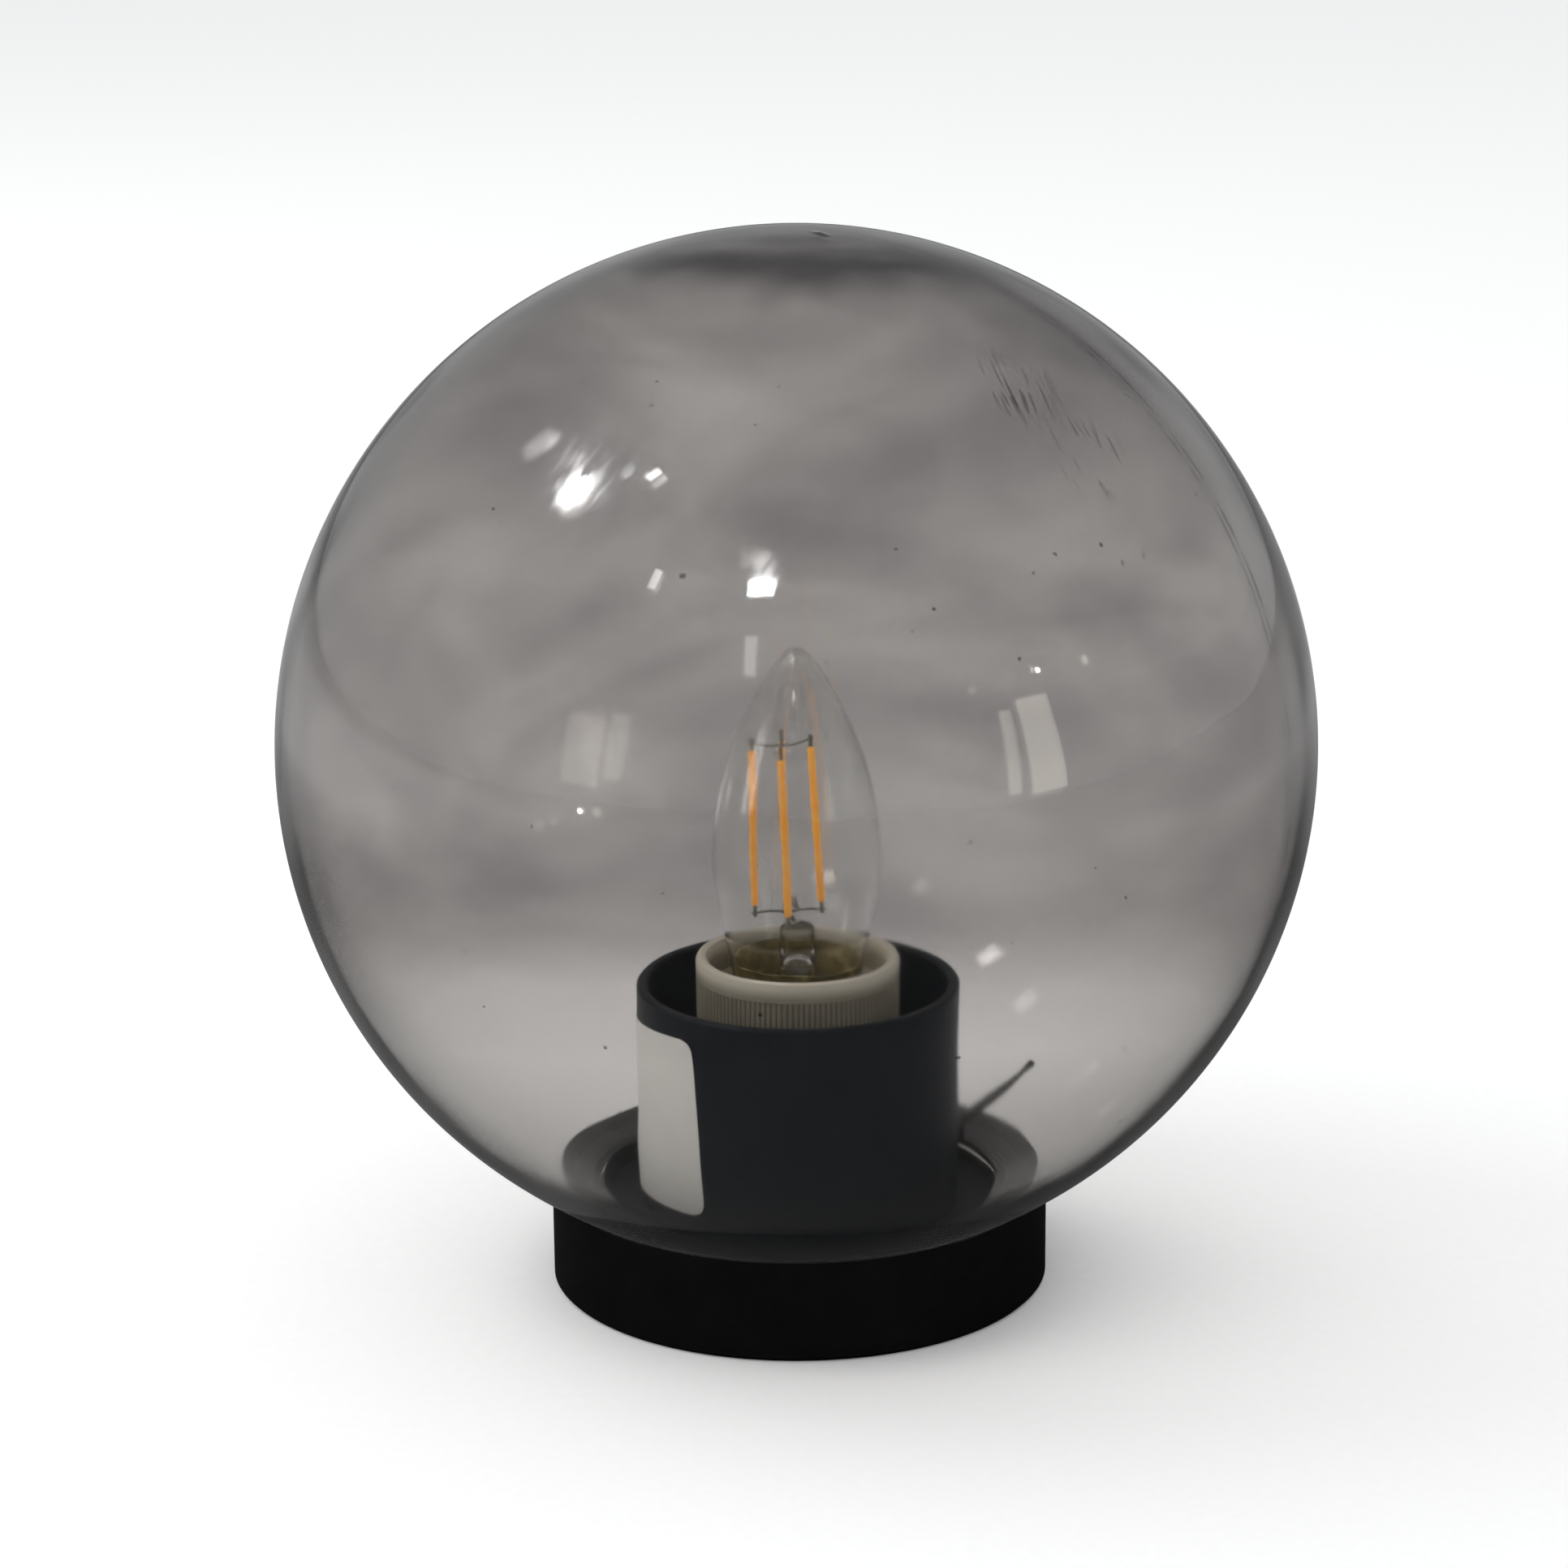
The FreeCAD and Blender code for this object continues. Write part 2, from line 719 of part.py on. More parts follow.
def candle(wall):
    """The solid inside the glass's outer surface, or inside its inner one, a wall further in."""
    low_z = cap_top_z - bulb_glass_neck_depth
    height = bulb_top_z - cap_top_z
    rings = [Part.Wire(Part.makeCircle(bulb_neck_r() - wall, V(0, 0, low_z), UP))]
    for i in range(bulb_glass_rings - 1):
        share = i / (bulb_glass_rings - 1)
        centre = V(0, 0, cap_top_z + height * share)
        rings.append(Part.Wire(Part.makeCircle(bulb_glass_radius(share) - wall, centre, UP)))
    rings.append(Part.Vertex(0, 0, bulb_top_z - 2 * wall))
    return Part.makeLoft(rings, True, True)


def bulb_glass():
    return candle(0).cut(candle(bulb_glass_wall))


def bulb_cap():
    inner_r = cap_r - cap_wall
    rim_r = cap_r + cap_rim_flare
    return turned([
        (inner_r, cap_bottom_z),
        (cap_r, cap_bottom_z),
        (cap_r, cap_top_z - cap_wall),
        (rim_r, cap_top_z),
        (rim_r - cap_wall, cap_top_z),
        (inner_r, cap_top_z - cap_wall),
    ])


def bulb_cap_insulator():
    outer_r = cap_r - cap_wall
    tip_r = tip_diameter / 2
    return turned([
        (0, insulator_bottom_z),
        (tip_r + cap_wall, insulator_bottom_z),
        (outer_r, cap_bottom_z - cap_wall),
        (outer_r, cap_bottom_z),
        (outer_r - 2 * cap_wall, cap_bottom_z + cap_wall),
        (0, cap_bottom_z + cap_wall),
    ])


def bulb_tip_contact():
    r = tip_diameter / 2
    return turned([
        (0, bulb_bottom_z),
        (r / 2, bulb_bottom_z),
        (r, insulator_bottom_z - tip_height * tip_side_share),
        (r, insulator_bottom_z),
        (0, insulator_bottom_z),
    ])


def filament_place(step, radius):
    return around(radius, FULL_TURN * step / filament_count)


def filament_low_z():
    return bulb_bottom_z + filament_start_height


def bulb_filaments():
    low_z = filament_low_z()
    return [cylinder(filament_diameter, low_z, low_z + filament_length,
                     *filament_place(step, filament_circle_diameter / 2)) for step in range(filament_count)]


def bulb_stem():
    rod_r = stem_rod_diameter / 2
    press_r = stem_press_diameter / 2
    low_z = cap_top_z - bulb_glass_neck_depth
    flare_r = bulb_neck_r() - bulb_glass_wall - bulb_glass_fit
    flare_z = low_z + stem_flare_height
    press_z = filament_low_z() - support_wire_overlap
    top_z = filament_low_z() + filament_length + support_wire_overlap
    return turned([
        (0, low_z),
        (flare_r, low_z),
        (flare_r, low_z + bulb_glass_wall),
        (press_r, flare_z),
        (press_r, press_z),
        (rod_r, press_z),
        (rod_r, top_z),
        (0, top_z),
    ])


def bulb_support_wires():
    """Cross wires from the stem over each end of each filament."""
    wires = []
    rod_r = stem_rod_diameter / 2
    reach = (filament_circle_diameter + filament_diameter) / 2
    half = support_wire_diameter / 2
    levels = (filament_low_z() - half, filament_low_z() + filament_length + half)
    for level in levels:
        arm = bar(V(1, 0, 0), support_wire_diameter, reach - rod_r, V(rod_r, 0, level))
        wires.extend(spaced_round(arm, filament_count))
    return wires


def driver_board_low_z():
    return cap_bottom_z + 2 * cap_wall


def bulb_driver_board():
    low_z = driver_board_low_z()
    return block(driver_board_width, driver_board_thickness, low_z, low_z + driver_board_height)


def bulb_driver_parts():
    low_z = driver_board_low_z()
    face_y = driver_board_thickness / 2
    can_x = (driver_board_width - driver_capacitor_diameter) * driver_part_offset_share
    can_y = face_y + driver_capacitor_diameter / 2
    can_low = low_z + driver_board_height - driver_capacitor_length - driver_chip_height
    can = cylinder(driver_capacitor_diameter, can_low, can_low + driver_capacitor_length, can_x, can_y)
    chip_y = -face_y - driver_chip_height / 2
    chips = []
    for row in range(1, driver_chip_count + 1):
        centre_z = low_z + driver_board_height * row / (driver_chip_count + 1)
        chips.append(block(driver_chip_size, driver_chip_height, centre_z - driver_chip_size / 2,
                           centre_z + driver_chip_size / 2, -can_x, chip_y))
    return [can] + chips


# Inner leads, drawn in the frame of the wiring side: out of the terminal, down the tube, in to the connector

def lead_route(side):
    y = side * lead_pitch / 2
    return [
        V(terminal_reach + terminal_depth / 2, y, lead_start_z),
        V(lead_reach, y, lead_start_z),
        V(lead_reach, y, lead_end_z),
        V(connector_centre + connector_width / 2, y, lead_end_z),
    ]


def rounded_path(points):
    """Straight runs joined by tangent arcs, each reaching along a share of its shorter run."""
    edges = []
    start = points[0]
    for i in range(1, len(points) - 1):
        back = points[i - 1] - points[i]
        ahead = points[i + 1] - points[i]
        turn = math.pi - back.getAngle(ahead)
        reach = lead_bend_share * min(back.Length, ahead.Length)
        radius = reach / math.tan(turn / 2)
        back.normalize()
        ahead.normalize()
        arc_start = points[i] + back * reach
        arc_end = points[i] + ahead * reach
        inward = back + ahead
        inward.normalize()
        middle = points[i] + inward * (math.hypot(radius, reach) - radius)
        edges.append(Part.makeLine(start, arc_start))
        edges.append(Part.Arc(arc_start, middle, arc_end).toShape())
        print("  lead bend radius", round(radius, 1))
        start = arc_end
    edges.append(Part.makeLine(start, points[-1]))
    return Part.Wire(edges)


def lead(side):
    points = lead_route(side)
    path = rounded_path(points)
    along = points[1] - points[0]
    circle = Part.Wire(Part.makeCircle(lead_diameter / 2, points[0], along))
    tube = path.makePipeShell([circle], True, True)
    section = math.pi * (lead_diameter / 2) ** 2
    filled = tube.Volume / section / path.Length
    print("  lead length", round(path.Length, 1), "volume share", round(filled, 3))
    return about_axis(tube, wiring_angle)


# Nylon tie: a loop through two slots of the tube, its head outside, and the cut tail

def tie_side():
    """Half the distance between the two sides of the loop."""
    return lead_pitch / 2 + lead_diameter / 2 + tie_lead_gap + tie_thickness / 2


def tube_tie():
    low_z = tie_z - tie_width / 2
    high_z = tie_z + tie_width / 2
    inside_x = lead_reach - lead_diameter / 2 - tie_lead_gap - tie_thickness
    outside_x = tube_r + tie_slot_gap
    head_x = outside_x + tie_thickness
    middle_x = (inside_x + head_x) / 2
    outer = block(head_x - inside_x, 2 * tie_side() + tie_thickness, low_z, high_z, middle_x)
    inner = block(head_x - inside_x - 2 * tie_thickness, 2 * tie_side() - tie_thickness,
                  low_z - cut_over, high_z + cut_over, middle_x)
    loop = outer.cut(inner)
    head_low = tie_z - tie_head_width / 2
    head = block(tie_head_depth, tie_head_length, head_low, head_low + tie_head_width,
                 outside_x + tie_head_depth / 2, -tie_head_offset)
    tail = block(tie_tail_length, tie_thickness, low_z, high_z, tie_tail_length / 2)
    tail.rotate(V(0, 0, tie_z), V(0, 1, 0), -tie_tail_rise_angle)
    tail.translate(V(head_x, -tie_head_offset, 0))
    return about_axis(joined([loop, head, tail]), wiring_angle)


# Connector under the deck

def connector_frame(shape):
    """From the connector's own place at the axis to its place under the deck."""
    shape.translate(V(connector_centre, 0, 0))
    return about_axis(shape, wiring_angle)


def connector_block():
    top_z = deck_under_z - connector_seat_gap
    low_z = top_z - connector_height
    body = block(connector_width, connector_length, low_z, top_z)
    towers = []
    cuts = []
    for side in (-1, 1):
        y = side * lead_pitch / 2
        cuts.append(bar(V(1, 0, 0), connector_bore_diameter, connector_width + 2 * cut_over,
                        V(-connector_width / 2 - cut_over, y, lead_end_z)))
        for end in (-1, 1):
            x = end * connector_screw_reach
            tower_low_z = low_z - connector_tower_height
            towers.append(cylinder(connector_tower_diameter, tower_low_z, low_z + base_wall, x, y))
            hole = connector_screw_diameter * screw_head_share + 2 * screw_hole_gap
            cuts.append(cylinder(hole, tower_low_z - cut_over, lead_end_z, x, y))
    hole = connector_screw_diameter + 2 * screw_hole_gap
    cuts.append(cylinder(hole, low_z - cut_over, top_z + cut_over))
    return connector_frame(joined([body] + towers).cut(cuts))


def connector_inserts():
    inserts = []
    outer_d = connector_bore_diameter - 2 * screw_thread_gap
    inner_d = outer_d - 2 * connector_insert_wall
    for side in (-1, 1):
        y = side * lead_pitch / 2
        start = V(-connector_insert_length / 2, y, lead_end_z)
        barrel = bar(V(1, 0, 0), outer_d, connector_insert_length, start)
        barrel = barrel.cut(bar(V(1, 0, 0), inner_d, connector_insert_length, start))
        for end in (-1, 1):
            hole = connector_screw_diameter + 2 * screw_thread_gap
            x = end * connector_screw_reach
            barrel = barrel.cut(cylinder(hole, lead_end_z - outer_d, lead_end_z, x, y))
        inserts.append(connector_frame(barrel))
    return inserts


def connector_screws():
    head_z = lead_end_z - connector_bore_diameter / 2 - screw_thread_gap
    screws = []
    for side in (-1, 1):
        for end in (-1, 1):
            screw = screw_at(connector_screw_diameter, connector_screw_length,
                             end * connector_screw_reach, side * lead_pitch / 2, head_z, True)
            screws.append(connector_frame(screw))
    return screws


def connector_fixing_screw():
    low_z = deck_under_z - connector_seat_gap - connector_height
    length = connector_height + connector_seat_gap + deck_thickness - deck_recess - screw_hole_gap
    return connector_frame(screw_at(connector_screw_diameter, length, 0, 0, low_z, True))


save("base_housing", base_housing())
save("globe", globe())
save("globe_gasket", globe_gasket())
save("lamp_tube", lamp_tube())
save("tube_screws", tube_screws())
save("lampholder_bracket", lampholder_bracket())
save("bracket_screws", bracket_screws())
save("lampholder_screws", lampholder_screws())
save("lampholder_body", lampholder_body())
save("lampholder_shell", lampholder_shell())
save("centre_contact", centre_contact())
save("side_contact", side_contact())
save("lampholder_terminals", lampholder_terminals())
save("terminal_screws", terminal_screws())
save("bulb_glass", bulb_glass())
save("bulb_stem", bulb_stem())
save("bulb_filaments", bulb_filaments())
save("bulb_support_wires", bulb_support_wires())
save("bulb_cap", bulb_cap())
save("bulb_cap_insulator", bulb_cap_insulator())
save("bulb_tip_contact", bulb_tip_contact())
save("bulb_driver_board", bulb_driver_board())
save("bulb_driver_parts", bulb_driver_parts())
save("lead_brown", lead(-1))
save("lead_blue", lead(1))
save("tube_tie", tube_tie())
save("connector_block", connector_block())
save("connector_inserts", connector_inserts())
save("connector_screws", connector_screws())
save("connector_fixing_screw", connector_fixing_screw())
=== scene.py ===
# %% [markdown]
# # A smoked globe light, piece by piece
# The light stands on a short black base. A smoked globe screws into the base, and through it
# you see a charcoal tube, a ribbed porcelain lampholder, a candle bulb, a paper label and the
# loose tail of a cable tie. The solids of every piece come as a frame at real size. This lesson
# gives each one its surface: first the camera, the helpers and the light, then the pieces.

# %% Load the frame of solids
import json
import math

import bmesh
import bpy
import numpy as np
from mathutils import Matrix, Vector


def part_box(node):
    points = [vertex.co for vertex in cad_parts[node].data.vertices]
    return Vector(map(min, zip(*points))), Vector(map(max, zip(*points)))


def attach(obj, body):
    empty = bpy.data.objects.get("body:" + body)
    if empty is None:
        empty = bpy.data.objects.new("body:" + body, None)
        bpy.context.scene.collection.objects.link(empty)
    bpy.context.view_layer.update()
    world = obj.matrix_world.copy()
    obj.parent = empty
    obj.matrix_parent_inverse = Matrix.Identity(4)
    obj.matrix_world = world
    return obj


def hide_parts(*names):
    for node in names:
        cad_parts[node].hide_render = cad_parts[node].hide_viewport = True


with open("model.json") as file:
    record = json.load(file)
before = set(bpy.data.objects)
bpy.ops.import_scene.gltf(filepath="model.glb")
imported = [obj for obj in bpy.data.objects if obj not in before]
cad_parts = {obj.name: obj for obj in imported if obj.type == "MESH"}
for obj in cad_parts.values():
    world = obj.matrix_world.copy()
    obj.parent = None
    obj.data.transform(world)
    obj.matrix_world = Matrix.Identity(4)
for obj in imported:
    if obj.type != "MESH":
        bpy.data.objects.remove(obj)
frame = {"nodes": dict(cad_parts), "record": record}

MM = 0.001
TURN = 2 * math.pi
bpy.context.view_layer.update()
record = frame["record"]
body_of = {node: body for body, nodes in record["behaviour"]["bodies"].items() for node in nodes}

# %% [markdown]
# ## Camera
# The photograph looks slightly down on the light. Its place could be guessed by eye, but the
# ellipses of base, tube and globe fix it: a fit to their outlines gives the distance, the height,
# the pitch and a small roll. A camera's matrix is its right, up and back directions side by side,
# which is simpler to trust than three rotation angles.

# %% Camera from the fit
PHOTO_SIZE = 1932
FOCAL_PIXELS = 4907.7
SENSOR_WIDTH = 36.0
CAMERA_PLACE = Vector((-2.40, -745.66, 298.18)) * MM
CAMERA_PITCH = math.radians(14.904)
CAMERA_ROLL = math.radians(-0.472)

level_right = Vector((1, 0, 0))
level_up = Vector((0, math.sin(CAMERA_PITCH), math.cos(CAMERA_PITCH)))
camera_ahead = Vector((0, math.cos(CAMERA_PITCH), -math.sin(CAMERA_PITCH)))
camera_right = level_right * math.cos(CAMERA_ROLL) + level_up * math.sin(CAMERA_ROLL)
camera_up = level_up * math.cos(CAMERA_ROLL) - level_right * math.sin(CAMERA_ROLL)

camera_data = bpy.data.cameras.new("studio_camera")
camera_data.sensor_width = SENSOR_WIDTH
camera_data.lens = FOCAL_PIXELS / PHOTO_SIZE * SENSOR_WIDTH
camera_data.clip_start = 10 * MM
camera = bpy.data.objects.new("studio_camera", camera_data)
bpy.context.scene.collection.objects.link(camera)
turning = Matrix((camera_right, camera_up, -camera_ahead)).transposed()
camera.matrix_world = Matrix.Translation(CAMERA_PLACE) @ turning.to_4x4()
bpy.context.scene.camera = camera
bpy.context.scene.view_settings.view_transform = "Standard"
print("camera lens", round(camera_data.lens, 2), "mm")

# %% [markdown]
# ## Node helpers
# A sky or a material is a tree of nodes. By hand, each node takes one line to add it, one for
# each setting and one for each link, and that hides what the tree does. Here one call adds a
# node, and each input takes either a plain value or what another node puts out.

# %% Nodes and their inputs
def feed(tree, socket, value):
    """Links the socket to another node's output, or sets a plain value on the socket itself."""
    if hasattr(value, "is_output"):
        tree.links.new(value, socket)
    else:
        socket.default_value = (*value, 1) if socket.type == "RGBA" else value


def new_node(tree, kind, inputs=(), **settings):
    """Adds a node, makes its settings, feeds its inputs, and gives its outputs."""
    node = tree.nodes.new("ShaderNode" + kind)
    for name, value in settings.items():
        setattr(node, name, value)
    for name, value in dict(inputs).items():
        feed(tree, node.inputs[name], value)
    return node.outputs


# %% Sums, ramps and mixes
def maths(tree, operation, *values):
    return new_node(tree, "Math", enumerate(values), operation=operation)[0]


def times(tree, first, *others):
    """The product of two or more sockets or numbers."""
    for other in others:
        first = maths(tree, "MULTIPLY", first, other)
    return first


def scaled(tree, value, factor, start):
    """The value times the factor, plus the start."""
    return maths(tree, "MULTIPLY_ADD", value, factor, start)


def vector_maths(tree, operation, first, second, output="Value"):
    """A dot product or a distance as a number, or with output="Vector" a product by parts."""
    return new_node(tree, "VectorMath", {0: first, 1: second}, operation=operation)[output]


def split(tree, vector):
    """The X, Y and Z of a vector."""
    return new_node(tree, "SeparateXYZ", {0: vector})


def ramp(tree, value, low, high, start=0.0, end=1.0):
    """start up to low, end from high on, and straight between. high may also lie below low."""
    return new_node(tree, "MapRange", {"Value": value, "From Min": low, "From Max": high,
                                       "To Min": start, "To Max": end})["Result"]


def colour_mix(tree, share, first, second):
    """The first colour at share 0, the second at 1, and straight between."""
    return new_node(tree, "Mix", {0: share, 6: first, 7: second}, data_type="RGBA")[2]


# %% Noise, bumps and stretched coordinates
def noise(tree, vector, scale, detail=3.0, roughness=0.55, distortion=0.0):
    return new_node(tree, "TexNoise", {"Vector": vector, "Scale": scale, "Detail": detail,
                                       "Roughness": roughness, "Distortion": distortion})["Fac"]


def bump(tree, height, strength, distance):
    return new_node(tree, "Bump", {"Height": height, "Strength": strength,
                                   "Distance": distance})["Normal"]


def stretched(tree, vector, scale, turn=(0, 0, 0), kind="POINT"):
    """The vector times the scale. With kind="TEXTURE" it is turned back first, then divided."""
    return new_node(tree, "Mapping", {"Vector": vector, "Rotation": turn, "Scale": scale},
                    vector_type=kind)["Vector"]


# %% [markdown]
# ## Lamps
# The globe is a mirror ball for whatever lights it, so the lamps are placed by their highlights:
# a ray goes from the camera through the pixel of a highlight, bounces off the globe, and the
# lamp hangs along it. All but the softbox are there for their highlights only, so they don't
# light dull surfaces. The softbox does that, and gloss and glass don't see it.

# %% Rays that bounce off the globe
globe_low, globe_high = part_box("globe")
GLOBE_R = (globe_high.x - globe_low.x) / 2
GLOBE_CENTRE = Vector((0, 0, globe_high.z - GLOBE_R))
CENTRE_Z = GLOBE_CENTRE.z


def pixel_ray(pixel):
    """Direction from the camera through a pixel: so many parts right, up and ahead."""
    across = (pixel[0] - PHOTO_SIZE / 2) / FOCAL_PIXELS
    down = (pixel[1] - PHOTO_SIZE / 2) / FOCAL_PIXELS
    return (camera_right * across - camera_up * down + camera_ahead).normalized()


def bounce_off_globe(pixel):
    """Where the pixel's ray meets the globe, and the direction in which it is mirrored.

    The place is the nearer root of the sphere's quadratic. The mirrored ray has its part along
    the normal taken away twice.
    """
    ray = pixel_ray(pixel)
    to_centre = GLOBE_CENTRE - CAMERA_PLACE
    along = ray.dot(to_centre)
    depth = math.sqrt(GLOBE_R ** 2 - (to_centre.length_squared - along ** 2))
    hit = CAMERA_PLACE + ray * (along - depth)
    normal = (hit - GLOBE_CENTRE).normalized()
    return hit, ray - normal * 2 * ray.dot(normal)


# %% Lamps by their highlights
WHITE = (1.0, 1.0, 1.0)
CREAM = (1.0, 0.95, 0.82)
GLINT_DISTANCE = 2.0
GLINTS = (
    # name, pixel, width and height in metres, radiance, colour
    ("key_lamp", (708, 602), 0.13, 0.17, 170, WHITE),
    ("roof_light", (940, 725), 0.19, 0.12, 80, WHITE),
    ("side_lamp_1", (801, 580), 0.05, 0.08, 30, WHITE),
    ("side_lamp_2", (772, 578), 0.03, 0.05, 30, WHITE),
    ("side_lamp_3", (802, 712), 0.07, 0.14, 9, WHITE),
    ("tall_light", (930, 808), 0.10, 0.30, 3.0, WHITE),
    ("low_lamp", (718, 1001), 0.03, 0.03, 60, CREAM),
    ("high_lamp", (1282, 829), 0.03, 0.03, 70, CREAM),
    ("left_pane_1", (720, 930), 0.315, 0.46, 1.1, CREAM),
    ("left_pane_2", (762, 927), 0.135, 0.44, 1.1, CREAM),
    ("right_pane_1", (1246, 926), 0.10, 0.52, 2.6, CREAM),
    ("right_pane_2", (1283, 915), 0.27, 0.60, 3.1, CREAM))


def soft_lamp(name, pixel, width, height, radiance, colour=WHITE, distance=GLINT_DISTANCE):
    """A panel that mirrors at the pixel. Its power is pi times area times radiance."""
    hit, away = bounce_off_globe(pixel)
    data = bpy.data.lights.new(name, "AREA")
    data.shape = "RECTANGLE"
    data.size = width
    data.size_y = height
    data.energy = math.pi * width * height * radiance
    data.color = colour
    lamp = bpy.data.objects.new(name, data)
    bpy.context.scene.collection.objects.link(lamp)
    facing = away.to_track_quat("Z", "Y").to_matrix().to_4x4()
    lamp.matrix_world = Matrix.Translation(hit + away * distance) @ facing
    lamp.visible_camera = False
    lamp.visible_diffuse = False
    print("lamp", name, "at", [round(c, 2) for c in lamp.matrix_world.translation])
    return lamp


for glint in GLINTS:
    soft_lamp(*glint)
softbox = soft_lamp("softbox", (655, 600), 1.5, 1.7, 3.4, distance=2.4)
softbox.visible_diffuse = True
softbox.visible_glossy = False
softbox.visible_transmission = False

# %% [markdown]
# ## Sky
# White all round lights the piece evenly, but it would also lie as a grey veil over all that is
# inside the globe, because the near wall mirrors it. Photographers hang black flags in front of
# a shiny thing for that. Here the sky is dim only for rays that the near wall mirrors. Rays
# that went inside see it white, so the rims of globe and bulb stay bright.

# %% Sky with flags
INNER_CROSSINGS = 3.5
SKY_COLOUR = (0.98, 0.99, 1.0)
SKY_STRENGTH = 0.95
MIRRORED_SHARE = 0.14
HORIZON_SHARE = 0.38


def off_front_wall(tree):
    """1 for a ray mirrored by the globe's near wall, 0 for others.

    Glossy Depth counts mirror bounces. Transmission Depth counts surfaces passed: a ray that went
    inside and came back out has passed four or more, and one mirrored by the near wall two at most.
    """
    path = new_node(tree, "LightPath")
    return times(tree, maths(tree, "MINIMUM", path["Glossy Depth"], 1.0),
                 maths(tree, "LESS_THAN", path["Transmission Depth"], INNER_CROSSINGS))


def build_sky():
    """White, but off the near wall a small share of it, least from half way up to the top."""
    sky = bpy.data.worlds.new("studio_sky")
    sky.use_nodes = True
    tree = sky.node_tree
    white = tree.nodes["Background"]
    feed(tree, white.inputs["Color"], SKY_COLOUR)
    feed(tree, white.inputs["Strength"], SKY_STRENGTH)
    height = split(tree, new_node(tree, "TexCoord")["Generated"])["Z"]
    dim = ramp(tree, height, 0.15, 0.5, HORIZON_SHARE * SKY_STRENGTH, MIRRORED_SHARE * SKY_STRENGTH)
    flags = new_node(tree, "Background", {"Color": SKY_COLOUR, "Strength": dim})
    mix = new_node(tree, "MixShader", {0: off_front_wall(tree), 1: white.outputs[0], 2: flags[0]})
    feed(tree, tree.nodes["World Output"].inputs["Surface"], mix[0])
    bpy.context.scene.world = sky
    return sky


print("sky:", len(build_sky().node_tree.nodes), "nodes")

# %% [markdown]
# ## Mesh helpers
# Nearly every piece here is turned: a profile that runs round the Z axis. Blender's Spin or Screw
# could do that, but a grid of numpy points shows the formula itself, and a thread or a rib is
# then one more term in the radius. Other pieces are a ring of points carried along a path.

# %% Small formulas
def smooth_step(share):
    """From 0 to 1 with a level start and end: three squares less two cubes."""
    share = np.clip(share, 0, 1)
    return share * share * (3 - 2 * share)


def squared_round(angle, cosine_power, sine_power):
    """Cosine and sine whose sizes are raised to powers below 1, which squares the circle off."""
    c, s = np.cos(angle), np.sin(angle)
    return np.sign(c) * np.abs(c) ** cosine_power, np.sign(s) * np.abs(s) ** sine_power


def full_circle(steps):
    return np.linspace(0, TURN, steps, endpoint=False)


def unit(vectors):
    """Each row divided by its length."""
    return vectors / np.linalg.norm(vectors, axis=-1, keepdims=True)


# %% Grid of points to a mesh
SHARP_ANGLE = math.radians(38)
FLAT_ANGLE = math.radians(0.5)


def new_piece(name, mesh):
    """An object at the origin, unturned and unscaled, that shows the mesh."""
    piece = bpy.data.objects.new(name, mesh)
    bpy.context.scene.collection.objects.link(piece)
    return piece


def shade(mesh, sharp=SHARP_ANGLE):
    """Smooth, but for edges past the sharp angle."""
    mesh.polygons.foreach_set("use_smooth", np.ones(len(mesh.polygons), bool))
    mesh.set_sharp_from_angle(angle=sharp)
    return mesh


def merged(mesh, distance):
    """Merges points that fall together, and drops the faces that this leaves empty."""
    edit = bmesh.new()
    edit.from_mesh(mesh)
    bmesh.ops.remove_doubles(edit, verts=edit.verts, dist=distance)
    bmesh.ops.dissolve_degenerate(edit, edges=edit.edges, dist=distance)
    edit.to_mesh(mesh)
    edit.free()
    return mesh


def flattened(mesh):
    """Joins neighbouring faces into one wherever they lie in one plane, up to a small angle."""
    edit = bmesh.new()
    edit.from_mesh(mesh)
    bmesh.ops.dissolve_limit(edit, angle_limit=FLAT_ANGLE, verts=edit.verts, edges=edit.edges)
    edit.to_mesh(mesh)
    edit.free()
    return mesh


def grid_piece(name, points, wrap_rows=False, sharp=SHARP_ANGLE):
    """Quads between neighbouring rows and columns of points[row, column].

    The last column joins the first, and so does the last row with wrap_rows. A sixth of the sum
    of every face's triple product is the closed volume, and if it is negative the faces turn round.
    """
    rows, columns = points.shape[:2]
    row, column = np.meshgrid(np.arange(rows if wrap_rows else rows - 1),
                              np.arange(columns), indexing="ij")
    next_row = (row + 1) % rows
    next_column = (column + 1) % columns
    quads = np.stack([row * columns + column, row * columns + next_column,
                      next_row * columns + next_column, next_row * columns + column], axis=-1)
    quads = quads.reshape(-1, 4)
    flat = points.reshape(-1, 3)
    a, b, c, d = flat[quads].transpose(1, 0, 2)
    volume = np.einsum("ij,ij->", a, np.cross(b, c)) + np.einsum("ij,ij->", a, np.cross(c, d))
    if volume < 0:
        quads = quads[:, ::-1]
    mesh = bpy.data.meshes.new(name)
    mesh.vertices.add(len(flat))
    mesh.vertices.foreach_set("co", flat.ravel())
    mesh.loops.add(quads.size)
    mesh.loops.foreach_set("vertex_index", np.ascontiguousarray(quads).ravel())
    mesh.polygons.add(len(quads))
    mesh.polygons.foreach_set("loop_start", np.arange(0, quads.size, 4))
    mesh.update(calc_edges=True)
    shade(merged(mesh, 0.0002 * MM), sharp)
    print(name, len(mesh.polygons), "faces")
    return new_piece(name, mesh)


# %% Turned pieces
def turned_points(profile, columns, wave=None):
    """Profile points (r, z) carried round the axis: (r cos a, r sin a, z). wave(a, z) adds to r."""
    a, r = np.meshgrid(full_circle(columns), profile[:, 0])
    z = np.broadcast_to(profile[:, 1:2], r.shape)
    if wave is not None:
        r = r + wave(a, z)
    return np.stack([r * np.cos(a), r * np.sin(a), z], axis=-1)


